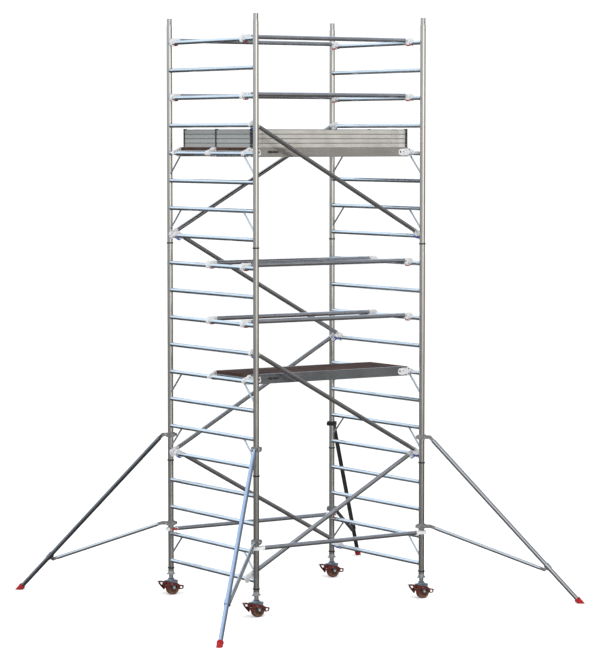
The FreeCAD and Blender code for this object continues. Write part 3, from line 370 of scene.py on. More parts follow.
SHADERS = {
    "frame_aluminium": frame_metal(),
    "spigot_aluminium": drawn_metal("spigot_aluminium", (0.80, 0.79, 0.77), (0.62, 0.61, 0.59), ALONG_Z),
    "black_spring_steel": moulded_plastic(
        "black_spring_steel", (0.020, 0.018, 0.017), (0.008, 0.007, 0.007), (0.50, 0.70), 0.15),
    "brace_aluminium": drawn_metal("brace_aluminium", (0.88, 0.91, 0.95), (0.76, 0.79, 0.84), ALONG_X),
    # painted shade: a darker, greyer copy of the brace aluminium for the diagonal braces
    "painted_shade_diagonal_aluminium": drawn_metal(
        "painted_shade_diagonal_aluminium", (0.70, 0.69, 0.68), (0.58, 0.57, 0.56), DIAGONAL, (0.14, 0.24)),
    "cast_aluminium": cast_metal(
        "cast_aluminium", (0.76, 0.76, 0.77), (0.60, 0.60, 0.61), metallic=0.40),
    "blue_plastic": moulded_plastic("blue_plastic", (0.022, 0.080, 0.420), (0.012, 0.045, 0.280)),
    "red_plastic": moulded_plastic("red_plastic", (0.330, 0.014, 0.018), (0.220, 0.008, 0.010)),
    "beam_aluminium": beam_metal(),
    "deck_plywood": deck_ply(),
    "black_plastic": moulded_plastic("black_plastic", (0.030, 0.030, 0.032), (0.012, 0.012, 0.013)),
    "toe_board_aluminium": toe_board_metal(),
    "galvanised_steel": drawn_metal(
        "galvanised_steel", (0.62, 0.65, 0.67), (0.44, 0.47, 0.49), ALONG_Z, (0.26, 0.44)),
    "nut_steel": cast_metal("nut_steel", (0.60, 0.62, 0.63), (0.40, 0.42, 0.43), (0.34, 0.55)),
    "fork_steel": cast_metal("fork_steel", (0.27, 0.31, 0.37), (0.17, 0.20, 0.25), (0.32, 0.52), 0.8),
    "wheel_rubber": solid_rubber("wheel_rubber", (0.095, 0.050, 0.032), (0.050, 0.028, 0.018)),
    "tread_rubber": tyre_rubber(),
    "pedal_red": moulded_plastic(
        "pedal_red", (0.088, 0.015, 0.012), (0.050, 0.010, 0.008), (0.40, 0.58), 0.25),
    "clamp_aluminium": cast_metal(
        "clamp_aluminium", (0.30, 0.295, 0.29), (0.17, 0.165, 0.16), metallic=0.6),
    # painted shade: a near-black copy of the clamp metal for the one clamp that falls in shade
    "painted_shade_clamp": cast_metal("painted_shade_clamp", (0.050, 0.050, 0.052), (0.026, 0.026, 0.028), metallic=0.5),
    "stabiliser_aluminium": drawn_metal(
        "stabiliser_aluminium", (0.80, 0.82, 0.85), (0.68, 0.70, 0.73), DIAGONAL),
    # painted light: a bright, lit copy of the stabiliser aluminium for the arms and struts that catch the
    # light
    "painted_light_tube": drawn_metal(
        "painted_light_tube", (0.86, 0.86, 0.86), (0.78, 0.78, 0.78), DIAGONAL, (0.14, 0.26)),
    # painted sky reflection: a sky-blue copy of the stabiliser aluminium for one arm
    "painted_sky_reflection_tube": drawn_metal("painted_sky_reflection_tube", (0.62, 0.72, 0.90), (0.52, 0.61, 0.78), DIAGONAL),
    # painted shade: a dark copy of the stabiliser aluminium for the far arms, which stand in shade
    "painted_shade_tube": drawn_metal(
        "painted_shade_tube", (0.26, 0.26, 0.27), (0.19, 0.19, 0.20), DIAGONAL, (0.22, 0.36)),
    "red_rubber": solid_rubber("red_rubber", (0.330, 0.005, 0.010), (0.200, 0.003, 0.006), (0.40, 0.60)),
    "weld": weld_metal(),
    "wheel_nylon": moulded_plastic(
        "wheel_nylon", (0.155, 0.075, 0.042), (0.085, 0.042, 0.026), (0.40, 0.58)),
    "bright_zinc": cast_metal("bright_zinc", (0.86, 0.87, 0.88), (0.66, 0.67, 0.69), (0.18, 0.36), 0.9),
    "copper_wash": cast_metal("copper_wash", (0.78, 0.46, 0.38), (0.56, 0.30, 0.25), (0.24, 0.42), 0.9),
}


# painted light and shade: these nodes get lit, shaded and sky-blue copies of their metal for how light falls
# on each, so identical stabilisers differ in tone
PAINTED_LIGHT_FINISH = {
    "diagonal_braces": "painted_shade_diagonal_aluminium",
    "stabiliser_arm_near_left": "painted_sky_reflection_tube",
    "stabiliser_arm_near_right": "painted_light_tube",
    "stabiliser_strut_near_right": "painted_light_tube",
    "stabiliser_arm_far_left": "painted_shade_tube",
    "stabiliser_arm_far_right": "painted_shade_tube",
    "stabiliser_upper_clamp_far_right": "painted_shade_clamp",
    "stabiliser_strut_far_left": "painted_light_tube",
}


def finish_cad_nodes():
    """Give each CAD node the procedural material of its slot, or for the nodes listed above a lighter,
    darker or bluer copy of that metal as painted light, shade and sky reflection.
    """
    for entry in frame["record"]["subparts"]:
        node = NODES[entry["node"]]
        finish = PAINTED_LIGHT_FINISH.get(entry["node"], entry["material_slot"])
        for slot in node.material_slots:
            slot.material = SHADERS[finish].material


# ---------------------------------------------------------------- mesh building

class Solid:
    """Collects closed shells and turns them into one piece."""

    def __init__(self):
        self.points = []
        self.faces = []

    def add(self, points, faces):
        start = len(self.points)
        self.points += [tuple(point) for point in points]
        self.faces += [tuple(start + index for index in face) for face in faces]

    def turned(self, profile, place, sides=32):
        """A solid of revolution about local Z from (radius, height) points, bottom to top."""
        points, faces, rings = [], [], []
        for radius, height in profile:
            if radius < 1e-6:
                rings.append([len(points)])
                points.append(place @ Vector((0, 0, height)))
                continue
            rings.append(list(range(len(points), len(points) + sides)))
            for step in range(sides):
                angle = 2 * math.pi * step / sides
                points.append(place @ Vector((radius * math.cos(angle), radius * math.sin(angle), height)))
        for below, above in zip(rings, rings[1:]):
            for step in range(sides):
                following = (step + 1) % sides
                if len(below) == 1:
                    faces.append((below[0], above[following], above[step]))
                elif len(above) == 1:
                    faces.append((below[step], below[following], above[0]))
                else:
                    faces.append((below[step], below[following], above[following], above[step]))
        if len(rings[0]) > 1:
            faces.append(tuple(reversed(rings[0])))
        if len(rings[-1]) > 1:
            faces.append(tuple(rings[-1]))
        self.add(points, faces)

    def hoop(self, profile, place, sides=48):
        """A ring of revolution about local Z from a closed (radius, height) outline."""
        points, faces, count = [], [], len(profile)
        for step in range(sides):
            angle = 2 * math.pi * step / sides
            for radius, height in profile:
                points.append(place @ Vector((radius * math.cos(angle), radius * math.sin(angle), height)))
        for step in range(sides):
            for index in range(count):
                a = step * count + index
                b = step * count + (index + 1) % count
                c = ((step + 1) % sides) * count + (index + 1) % count
                d = ((step + 1) % sides) * count + index
                faces.append((a, d, c, b))
        self.add(points, faces)

    def prism(self, outline, low, high, place):
        """A plate from an outline in local X and Y, from low to high along local Z."""
        count = len(outline)
        points = [place @ Vector((x, y, z)) for z in (low, high) for x, y in outline]
        faces = [tuple(reversed(range(count))), tuple(range(count, 2 * count))]
        faces += [(i, (i + 1) % count, count + (i + 1) % count, count + i) for i in range(count)]
        self.add(points, faces)

    def bead(self, path, radii, sides=6):
        """A closed bead along a closed path, with a radius at each of its points."""
        points, faces, count = [], [], len(path)
        middle = sum(path, Vector()) / count
        for step, (point, radius) in enumerate(zip(path, radii)):
            along = (path[(step + 1) % count] - path[step - 1]).normalized()
            out = (point - middle)
            out = (out - along * out.dot(along)).normalized()
            side = along.cross(out)
            for turn in range(sides):
                angle = 2 * math.pi * turn / sides
                points.append(point + (out * math.cos(angle) + side * math.sin(angle)) * radius)
        for step in range(count):
            for turn in range(sides):
                a = step * sides + turn
                b = step * sides + (turn + 1) % sides
                c = ((step + 1) % count) * sides + (turn + 1) % sides
                d = ((step + 1) % count) * sides + turn
                faces.append((a, b, c, d))
        self.add(points, faces)

    def piece(self, name, slot_name, body, shader=None, sharp=35.0):
        mesh = bpy.data.meshes.new(name)
        mesh.from_pydata(self.points, [], self.faces)
        mesh.validate()
        for polygon in mesh.polygons:
            polygon.use_smooth = True
        mesh.set_sharp_from_angle(angle=math.radians(sharp))
        mesh.materials.append(SHADERS[shader or slot_name].material)
        made = bpy.data.objects.new(name, mesh)
        bpy.context.scene.collection.objects.link(made)
        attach(made, body)
        return made


def facing(origin, axis):
    """A placement at origin whose local Z points along axis."""
    turn = Vector(axis).normalized().to_track_quat("Z", "Y")
    return Matrix.Translation(origin) @ turn.to_matrix().to_4x4()


def dome(radius, height, steps=4):
    """Profile of a rivet head, from its face to its crown."""
    rows = [(radius, 0.0)]
    for step in range(1, steps):
        angle = math.pi / 2 * step / steps
        rows.append((radius * math.cos(angle), height * math.sin(angle)))
    return rows + [(0.0, height)]


def hexagon(across):
    radius = across / math.sqrt(3)
    return [(radius * math.cos(math.pi / 3 * i), radius * math.sin(math.pi / 3 * i)) for i in range(6)]


# ---------------------------------------------------------------- weld beads

BEAD_R = 0.0021
BEAD_STEPS = 40
BEAD_RIPPLE = 0.00045


def saddle(start, along, radius, target, target_along):
    """The loop where a round bar of a radius meets a post or rung of radius target[1]."""
    axis_point, target_r = target
    side = along.cross(target_along).normalized()
    other = side.cross(along).normalized()
    loop = []
    for step in range(BEAD_STEPS):
        angle = 2 * math.pi * step / BEAD_STEPS
        base = start + (side * math.cos(angle) + other * math.sin(angle)) * radius
        offset = base - axis_point
        flat = offset - target_along * offset.dot(target_along)
        ahead = along - target_along * along.dot(target_along)
        a, b, c = ahead.dot(ahead), 2 * flat.dot(ahead), flat.dot(flat) - target_r ** 2
        reach = (-b - math.sqrt(max(b * b - 4 * a * c, 0.0))) / (2 * a)
        loop.append(base + along * reach)
    return loop


def ripple(count, phase):
    return [BEAD_R + BEAD_RIPPLE * math.sin(13 * 2 * math.pi * i / count + phase) for i in range(count)]


def weld_loops(side, numbers):
    """Every weld of the rungs and gussets with these numbers in one end frame."""
    x = post_x(side)
    loops = []
    for number in numbers:
        z = rung_z(number)
        for sign in (-1, 1):
            post_axis = Vector((x, sign * POST_Y, z))
            out = Vector((0, sign, 0))
            loops.append(saddle(Vector((x, 0, z)), out, RUNG_R, (post_axis, POST_R), UP))
            if number not in GUSSET_RUNGS:
                continue
            at_rung = Vector((x, sign * (POST_Y - GUSSET_ALONG_RUNG), z - RUNG_R))
            at_post = Vector((x, sign * (POST_Y - POST_R), z - GUSSET_DOWN_POST))
            down = (at_post - at_rung).normalized()
            middle = (at_rung + at_post) / 2
            loops.append(saddle(middle, down, GUSSET_R, (post_axis, POST_R), UP))
            loops.append(saddle(middle, -down, GUSSET_R, (Vector((x, 0, z)), RUNG_R), Vector((0, 1, 0))))
    return loops


def weld_beads():
    first = 1
    for part, count in (("base", 4), ("middle", 8), ("top", 8)):
        numbers = range(first, first + count)
        first += count
        for side in ("left", "right"):
            solid = Solid()
            for phase, loop in enumerate(weld_loops(side, numbers)):
                solid.bead(loop, ripple(len(loop), phase * 1.7))
            solid.piece(f"weld_beads_{side}_{part}", "frame_aluminium", "tower", "weld", 60)


# ---------------------------------------------------------------- brace, hook and deck fasteners

NEAR_INNER, NEAR_OUTER, FAR_INNER, FAR_OUTER = -0.600, -0.665, 0.600, 0.668
RAIL_NEAR, RAIL_MIDDLE, RAIL_FAR = -0.530, 0.034, 0.655
DIAGONALS = (
    (1, 5, NEAR_INNER), (9, 5, NEAR_OUTER), (17, 13, NEAR_OUTER),
    (5, 1, FAR_INNER), (5, 9, FAR_OUTER), (13, 9, FAR_INNER), (13, 17, FAR_OUTER),
)
RAILS = [(n, n, y) for n in (10, 12) for y in (RAIL_NEAR, RAIL_MIDDLE)]
RAILS += [(n, n, y) for n in (18, 20) for y in (RAIL_NEAR, RAIL_FAR)]
CLAW_LIFT = 0.022
CLAW_RIVET_BACK = 0.0575
CLAW_COLLAR_R = 0.0225
LATCH_PIN = (-0.034, -0.0225)
LATCH_HALF = 0.008
RIVET_R = 0.0045


def claw_frames():
    """Placement of every claw on a rung: local X points outward and local Z away from the mouth."""
    left, right = post_x("left"), post_x("right")
    frames = []
    for left_rung, right_rung, y in list(DIAGONALS) + RAILS:
        start = Vector((left, y, rung_z(left_rung)))
        end = Vector((right, y, rung_z(right_rung)))
        along = (end - start).normalized()
        up = Vector((-along.z, 0, along.x))
        for at, out in ((start, -along), (end, along)):
            side = up.cross(out)
            columns = Matrix((out, side, up)).transposed().to_4x4()
            frames.append(Matrix.Translation(at) @ columns)
    return frames


def claw_rivets():
    """Two domed rivets through each claw's collar, and the pin each trigger turns on."""
    solid = Solid()
    for frame_of_claw in claw_frames():
        for side in (-1, 1):
            at = Vector((-CLAW_RIVET_BACK, side * (CLAW_COLLAR_R - 0.0006), CLAW_LIFT))
            solid.turned(dome(RIVET_R, 0.0026), frame_of_claw @ facing(at, (0, side, 0)), 16)
            at = Vector((LATCH_PIN[0], side * (LATCH_HALF - 0.0004), LATCH_PIN[1]))
            solid.turned(dome(0.0036, 0.0022), frame_of_claw @ facing(at, (0, side, 0)), 14)
    solid.piece("claw_rivets", "spigot_aluminium", "tower")


PLATFORM_WIDE = 0.600
BEAM_WIDE = 0.030
PLATFORM_HALF = 0.850
DECK_TOP = 0.055
HOOK_RIVETS = (-0.012, 0.032)
HOOK_RIVET_IN = 0.014
CHEEK_HOLES = ((0.766, 0.012, 0.0088), (0.804, 0.014, 0.0058), (0.836, 0.028, 0.0039))
INNER_BARS = (-0.5, 0.0, 0.5)
END_BAR = 0.835


def platforms():
    """Near edge, rung height and open faces (the ones with cheek plates) of the three platforms."""
    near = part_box("platform_frames")[0].y
    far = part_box("platform_frames")[1].y - PLATFORM_WIDE
    return [(near, rung_z(8), (-1, 1)), (near, rung_z(16), (-1,)), (far, rung_z(16), (1,))]


def hook_rivets():
    """Rivets through the hooks, and dark plugs in the holes of the cheek plates on open faces."""
    solid = Solid()
    for near, z, open_faces in platforms():
        for beam, y in ((-1, near + BEAM_WIDE / 2), (1, near + PLATFORM_WIDE - BEAM_WIDE / 2)):
            for end in (-1, 1):
                for face in (-1, 1):
                    plated = face == beam and beam in open_faces
                    out = BEAM_WIDE / 2 + (0.0040 if plated else -0.0008)
                    for up in HOOK_RIVETS:
                        at = Vector((end * (PLATFORM_HALF + HOOK_RIVET_IN), y + face * out, z + up))
                        solid.turned(dome(0.0062, 0.0034), facing(at, (0, face, 0)), 18)
                    if plated:
                        for along, up, radius in CHEEK_HOLES:
                            at = Vector((end * along, y + face * (BEAM_WIDE / 2 + 0.0003), z + up))
                            solid.turned(dome(radius, 0.0030), facing(at, (0, face, 0)), 24)
    solid.piece("hook_rivets", "black_plastic", "tower")


def beam_rivets():
    """Pairs of rivets where the cross bars meet the side beams, seen on the beams' outer faces."""
    solid = Solid()
    for near, z, open_faces in platforms():
        for y, face in ((near, -1), (near + PLATFORM_WIDE, 1)):
            for x in INNER_BARS if face in open_faces else (-END_BAR, *INNER_BARS, END_BAR):
                for aside in (-0.010, 0.010):
                    at = Vector((x + aside, y - face * 0.0003, z + 0.022))
                    solid.turned(dome(0.0042, 0.0024), facing(at, (0, face, 0)), 14)
    solid.piece("beam_rivets", "beam_aluminium", "tower")


DECK_SCREWS = 9
DECK_SCREW_END = 0.80
DECK_SCREW_R = 0.0050
SCREW_IN = 0.043
HATCH_CLEAR = (-0.78, -0.13)


def screw_head(solid, at, radius):
    """A flat countersunk head with a sunk socket."""
    ring = [(radius, 0.0), (radius - 0.0003, 0.0007), (0.45 * radius, 0.0009),
            (0.40 * radius, 0.0002), (0.0, 0.0002)]
    solid.turned(ring, Matrix.Translation(at), 16)


def deck_screws():
    """Screws along both long edges of each deck; the holed deck keeps clear of the trapdoor."""
    solid = Solid()
    for near, z, _ in platforms():
        for y in (near + SCREW_IN, near + PLATFORM_WIDE - SCREW_IN):
            for number in range(DECK_SCREWS):
                x = -DECK_SCREW_END + 2 * DECK_SCREW_END * number / (DECK_SCREWS - 1)
                over_hatch = near > 0 and HATCH_CLEAR[0] < x < HATCH_CLEAR[1]
                if not over_hatch:
                    screw_head(solid, Vector((x, y, z + DECK_TOP - 0.0002)), DECK_SCREW_R)
    solid.piece("deck_screws", "spigot_aluminium", "tower")


def hatch_fittings():
    """Screws of the trapdoor's hinge leaves and a raised rim round its hand slot."""
    low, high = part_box("access_hatch")
    top = rung_z(16) + DECK_TOP
    solid = Solid()
    for leaf_x in (low.x + 0.070, high.x - 0.130):
        for across in (0.014, 0.046):
            for back in (0.016, 0.034):
                at = Vector((leaf_x + across, high.y - 0.0045 - back, top + 0.0028))
                screw_head(solid, at, 0.0038)
    solid.piece("hatch_screws", "spigot_aluminium", "hatch")
    rim = Solid()
    middle = Vector(((low.x + high.x) / 2, low.y + 0.046, top))
    path = rounded_loop(middle, 0.0585, 0.0195, 0.010)
    rim.bead(path, [0.0022] * len(path), 8)
    rim.piece("hatch_grip_rim", "black_plastic", "hatch")


def rounded_loop(middle, half_x, half_y, radius, steps=8):
    """Points round a level rounded rectangle."""
    points = []
    for quarter, (sx, sy) in enumerate(((1, 1), (-1, 1), (-1, -1), (1, -1))):
        corner = middle + Vector((sx * (half_x - radius), sy * (half_y - radius), 0))
        for step in range(steps + 1):
            angle = math.pi / 2 * (quarter + step / steps)
            points.append(corner + Vector((math.cos(angle), math.sin(angle), 0)) * radius)
    return points


# ---------------------------------------------------------------- toe board trim

def toe_board_trim():
    """Hook-over cleats at the corners and screws in the corner posts."""
    low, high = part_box("toe_boards")
    bottom, top = low.z, high.z
    screws, cleats = Solid(), Solid()
    half_clip_x, half_clip_y = 0.013, 0.0095
    x_out = 0.834
    y_near, y_far = low.y + 0.009, high.y - 0.009
    for x in (-x_out, x_out):
        side = math.copysign(1, x)
        for y in (y_near, y_far):
            face = math.copysign(1, y)
            for up in (0.022, 0.080, 0.138):
                at = Vector((x, y + face * (half_clip_y - 0.0002), bottom + up))
                screws.turned(dome(0.0045, 0.0022), facing(at, (0, face, 0)), 16)
                at = Vector((x + side * (half_clip_x - 0.0002), y, bottom + up))
                screws.turned(dome(0.0045, 0.0022), facing(at, (side, 0, 0)), 16)
    for x in (-0.700, 0.700):
        for y, face in ((low.y, -1), (high.y, 1)):
            outline = [(x - 0.030, bottom + 0.002), (x + 0.030, bottom + 0.002), (x + 0.030, top - 0.002),
                       (x + 0.024, top + 0.0015), (x - 0.024, top + 0.0015), (x - 0.030, top - 0.002)]
            turn = Matrix(((1, 0, 0, 0), (0, 0, face, 0), (0, 1, 0, 0), (0, 0, 0, 1)))
            cleats.prism(outline, abs(y) - 0.0002, abs(y) + 0.0022, turn)
    screws.piece("toe_board_screws", "spigot_aluminium", "tower")
    cleats.piece("toe_board_cleats", "toe_board_aluminium", "tower")


# ---------------------------------------------------------------- castors

WHEEL_R = 0.0625
TRAIL = 0.014
FORK_OUT = 0.033
TYRE_GROOVES = 5
PEDAL_PIVOT = (-0.012, 0.102)
PEDAL_OUT = 0.037
TYRE_HALF = 0.024
TYRE_BORE_R = 0.0465
SHOULDER_R = 0.0075
SHOULDER_WIDE = 0.009
SHOULDER_STEPS = 8
RIBS = 8
RIB_HALF = 0.0013
TREAD_HALF = 0.0345
TREAD_RIBS = 6
TREAD_FROM = -0.126
TREAD_PITCH = 0.0072
TREAD_FOOT_Z = 0.1318
TREAD_TOP_Z = 0.1332


def wheel_place(corner):
    """The wheel's centre, with local Z along the axle."""
    return facing(centre(f"castor_wheel_{corner}"), (0, 1, 0))


def shoulder(share, side):
    """A point of the tyre's rounded shoulder, from its flank (0) to its tread (1)."""
    angle = math.pi / 2 * share
    radius = WHEEL_R - SHOULDER_R + SHOULDER_R * math.sin(angle) - 0.00002
    return radius, side * (TYRE_HALF - SHOULDER_WIDE + SHOULDER_WIDE * math.cos(angle))


def tyre_profile():
    """Closed outline of the tyre and its rounded shoulders."""
    outline = [(TYRE_BORE_R, -TYRE_HALF + 0.002), (TYRE_BORE_R + 0.002, -TYRE_HALF)]
    outline += [shoulder(step / SHOULDER_STEPS, -1) for step in range(SHOULDER_STEPS + 1)]
    span = 2 * (TYRE_HALF - SHOULDER_WIDE)
    for groove in range(TYRE_GROOVES):
        middle = -TYRE_HALF + SHOULDER_WIDE + span * (groove + 0.5) / TYRE_GROOVES
        for along, deep in ((-0.0011, 0.0), (-0.0006, 0.0014), (0.0006, 0.0014), (0.0011, 0.0)):
            outline.append((WHEEL_R - deep, middle + along))
    outline += [shoulder(1 - step / SHOULDER_STEPS, 1) for step in range(SHOULDER_STEPS + 1)]
    outline += [(TYRE_BORE_R + 0.002, TYRE_HALF), (TYRE_BORE_R, TYRE_HALF - 0.002)]
    return outline


def spoked_rim(solid, place):
    """Rim ring, dished web, hub and eight ribs on each side."""
    solid.hoop([(0.0400, -0.0165), (0.0464, -0.0175), (0.0464, 0.0175), (0.0400, 0.0165)], place, 64)
    solid.hoop([(0.0125, -0.0050), (0.0402, -0.0036), (0.0402, 0.0036), (0.0125, 0.0050)], place, 64)
    hub = [(0.00615, -0.0284), (0.0118, -0.0284), (0.0130, -0.0272), (0.0136, -0.0050),
           (0.0136, 0.0050), (0.0130, 0.0272), (0.0118, 0.0284), (0.00615, 0.0284)]
    solid.hoop(hub, place, 48)
    for number in range(RIBS):
        turn = place @ Matrix.Rotation(2 * math.pi / RIBS * number, 4, "Z")
        for side in (-1, 1):
            rib = [(0.0128, side * 0.0040), (0.0405, side * 0.0030),
                   (0.0405, side * 0.0150), (0.0128, side * 0.0190)]
            solid.prism(rib, -RIB_HALF, RIB_HALF, turn @ SWAP_Y_Z)


def castor_wheels():
    for corner in CORNERS:
        place = wheel_place(corner)
        tyre = Solid()
        tyre.hoop(tyre_profile(), place, 96)
        made = tyre.piece(f"tyre_{corner}", "wheel_rubber", f"wheel_{corner}", "tread_rubber", 28)
        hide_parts(f"castor_wheel_{corner}")
        rim = Solid()
        spoked_rim(rim, place)
        rim.piece(f"wheel_rim_{corner}", "wheel_rubber", f"wheel_{corner}", "wheel_nylon", 32)


def castor_fittings():
    """Hexagon cap nuts on the axle, a dust seal in the swivel head, pivot caps and pedal treads."""
    for corner in CORNERS:
        middle = centre(f"castor_wheel_{corner}")
        x = middle.x - TRAIL
        y = middle.y
        nuts = Solid()
        for side in (-1, 1):
            place = facing(Vector((middle.x, y + side * FORK_OUT, middle.z)), (0, side, 0))
            nuts.prism(hexagon(0.0212), 0.0002, 0.0074, place)
            nuts.turned(dome(0.0092, 0.0056, 6), place @ Matrix.Translation((0, 0, 0.0073)), 24)
            nuts.hoop([(0.0105, 0.0001), (0.0130, 0.0001), (0.0130, 0.0012), (0.0105, 0.0012)], place, 32)
        nuts.piece(f"axle_cap_nuts_{corner}", "nut_steel", f"fork_{corner}", "bright_zinc")
        caps = Solid()
        for side in (-1, 1):
            at = Vector((x + PEDAL_PIVOT[0], y + side * (PEDAL_OUT + 0.0018), PEDAL_PIVOT[1]))
            caps.turned(dome(0.0066, 0.0036, 5), facing(at, (0, side, 0)), 22)
        caps.piece(f"pedal_pivot_caps_{corner}", "nut_steel", f"fork_{corner}", "copper_wash")
        seal = Solid()
        at = Matrix.Translation((x, y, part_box(f"castor_fork_{corner}")[1].z + 0.0006))
        lip = [(0.0205, 0.0), (0.0262, 0.0), (0.0270, 0.0016),
               (0.0262, 0.0034), (0.0243, 0.0034), (0.0205, 0.0004)]
        seal.hoop(lip, at, 48)
        seal.piece(f"swivel_seal_{corner}", "black_plastic", f"leg_{corner}")
        treads = Solid()
        for number in range(TREAD_RIBS):
            start = x + TREAD_FROM + TREAD_PITCH * number
            rib = [(start, TREAD_FOOT_Z), (start + 0.0032, TREAD_FOOT_Z),
                   (start + 0.0026, TREAD_TOP_Z), (start + 0.0006, TREAD_TOP_Z)]
            treads.prism(rib, y - TREAD_HALF, y + TREAD_HALF, SWAP_Y_Z)
        treads.piece(f"pedal_tread_{corner}", "pedal_red", f"pedal_{corner}")


THREAD_PITCH = 0.012
THREAD_ROOT = 0.0190
THREAD_CREST = 0.0210
THREAD_STEPS = 32


def threaded_stems():
    """A true right-hand trapezoidal thread on each stem, above the castor's swivel head."""
    for corner in CORNERS:
        low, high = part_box(f"adjustable_leg_{corner}")
        x, y = (low.x + high.x) / 2, (low.y + high.y) / 2
        start, end = low.z + 0.025, high.z - 0.003
        turns = int((end - start - THREAD_PITCH) / THREAD_PITCH)
        profile = ((THREAD_ROOT, 0.00), (THREAD_CREST, 0.16), (THREAD_CREST, 0.38), (THREAD_ROOT, 0.54))
        points, faces = [], []
        rows = turns * THREAD_STEPS
        for row in range(rows + 1):
            angle = 2 * math.pi * row / THREAD_STEPS
            fade = min(1.0, row / THREAD_STEPS, (rows - row) / THREAD_STEPS)
            for radius, share in profile:
                r = THREAD_ROOT - 0.0003 + (radius - THREAD_ROOT + 0.0003) * fade
                z = start + THREAD_PITCH * (row / THREAD_STEPS + share)
                points.append((x + r * math.cos(angle), y + r * math.sin(angle), z))
            inner = THREAD_ROOT - 0.0012
            z = start + THREAD_PITCH * (row / THREAD_STEPS + 0.27)
            points.append((x + inner * math.cos(angle), y + inner * math.sin(angle), z))
        count = len(profile) + 1
        for row in range(rows):
            for index in range(count):
                a = row * count + index
                b = row * count + (index + 1) % count
                faces.append((a, a + count, b + count, b))
        faces.append(tuple(range(count)))
        faces.append(tuple(reversed(range(rows * count, rows * count + count))))
        solid = Solid()
        solid.add(points, faces)
        core = [(0.0, low.z + 0.001), (0.0128, low.z + 0.001), (0.0128, low.z + 0.0050),
                (0.0068, low.z + 0.0052), (0.0068, low.z + 0.0130), (0.0240, low.z + 0.0130),
                (0.0240, low.z + 0.0195), (0.0190, low.z + 0.0230),
                (THREAD_ROOT, high.z), (0.0140, high.z), (0.0140, high.z - 0.050), (0.0, high.z - 0.050)]
        solid.turned(core, Matrix.Translation((x, y, 0)), 48)
        made = solid.piece(f"threaded_stem_{corner}", "galvanised_steel", f"leg_{corner}", sharp=30)
        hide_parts(f"adjustable_leg_{corner}")


# ---------------------------------------------------------------- stabilisers

ARM_PIVOT_OUT = 0.075
BOLT_ASIDE = 0.0335
CLAMP_FACE_OUT = 0.0311
FOOT_OUT = 1.465
FOOT_RIBS = 2
FOOT_RIB_UP = 0.0378
FOOT_RIB_PITCH = 0.0050
EYE_RIVETS = (0.055, 0.070)
EYE_RIVET_ASIDE = 0.0196


def outward(corner):
    middle = centre(f"castor_fork_{corner}")
    return Vector((math.copysign(1, middle.x), math.copysign(1, middle.y), 0)).normalized()


def post_axis(corner):
    out = outward(corner)
    return Vector((math.copysign(post_x("right"), out.x), math.copysign(POST_Y, out.y), 0))


def arm_line(corner):
    """The arm's upper pivot, the point under its foot and its direction."""
    out = outward(corner)
    low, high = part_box(f"stabiliser_upper_clamp_{corner}")
    pivot = post_axis(corner) + out * ARM_PIVOT_OUT
    pivot.z = (low.z + high.z) / 2
    ground = post_axis(corner) + out * FOOT_OUT
    return pivot, ground, (ground - pivot).normalized()


def clamp_bolts():
    """Flanged hexagon nuts, washers and domed bolt ends on both couplers of each stabiliser."""
    for corner in CORNERS:
        out = outward(corner)
        aside = UP.cross(out)
        for level in ("upper", "lower"):
            low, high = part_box(f"stabiliser_{level}_clamp_{corner}")
            z = (low.z + high.z) / 2
            solid = Solid()
            for side in (-1, 1):
                at = post_axis(corner) + aside * side * BOLT_ASIDE + UP * z
                place = facing(at + out * CLAMP_FACE_OUT, out)
                washer = [(0.0052, 0.0), (0.0096, 0.0), (0.0096, 0.0014), (0.0084, 0.0019), (0.0052, 0.0019)]
                solid.hoop(washer, place, 32)
                solid.prism(hexagon(0.0152), 0.0018, 0.0072, place)
                solid.turned(dome(0.0049, 0.0022, 5), place @ Matrix.Translation((0, 0, 0.0071)), 20)
            body = f"{level}_clamp_{corner}"
            solid.piece(f"{level}_clamp_nuts_{corner}", "clamp_aluminium", body, "bright_zinc")


def foot_ribs():
    """Moulded rings round each stabiliser's rubber cap."""
    for corner in CORNERS:
        _, ground, along = arm_line(corner)
        solid = Solid()
        for number in range(FOOT_RIBS):
            place = facing(ground - along * (FOOT_RIB_UP - FOOT_RIB_PITCH * number), along)
            ring = [(0.0266, 0.0), (0.0279, 0.0006), (0.0283, 0.0015), (0.0279, 0.0024), (0.0266, 0.0030)]
            solid.hoop(ring, place, 48)
        solid.piece(f"foot_ribs_{corner}", "red_rubber", f"arm_{corner}")


def arm_end_rivets():
    """Rivets that hold the flat eye in the upper end of each arm."""
    for corner in CORNERS:
        aside = UP.cross(outward(corner))
        pivot, _, along = arm_line(corner)
        solid = Solid()
        for distance in EYE_RIVETS:
            for side in (-1, 1):
                at = pivot + along * distance + aside * side * EYE_RIVET_ASIDE
                solid.turned(dome(0.0046, 0.0026), facing(at, aside * side), 16)
        solid.piece(f"arm_rivets_{corner}", "spigot_aluminium", f"arm_{corner}")


# ---------------------------------------------------------------- camera, light and floor

STRIP_TURN = math.radians(-30)
SIDE_TURN = math.radians(112)
CAMERA_AT = Vector((-13.9255, -20.8691, 4.2141))
CAMERA_YAW = math.radians(33.805)
FRONT_BEARING = CAMERA_YAW + math.pi
CAMERA_PITCH = math.radians(-4.10)
FOCAL = 148.01
SENSOR = 36.0
FLOOR_HALF, FLOOR_THICK, FLOOR_GAP = 60.0, 0.02, 0.0005
WHITE = 1.16                 # all light that isn't a mirror reflection
LAMPS_AIM = Vector((0, 0, 2.2))


def add_camera():
    data = bpy.data.cameras.new("camera")
    data.lens = FOCAL
    data.sensor_width = SENSOR
    data.clip_end = 200.0
    made = bpy.data.objects.new("camera", data)
    made.location = CAMERA_AT
    made.rotation_euler = (math.radians(90) + CAMERA_PITCH, 0, -CAMERA_YAW)
    bpy.context.scene.collection.objects.link(made)
    bpy.context.scene.camera = made


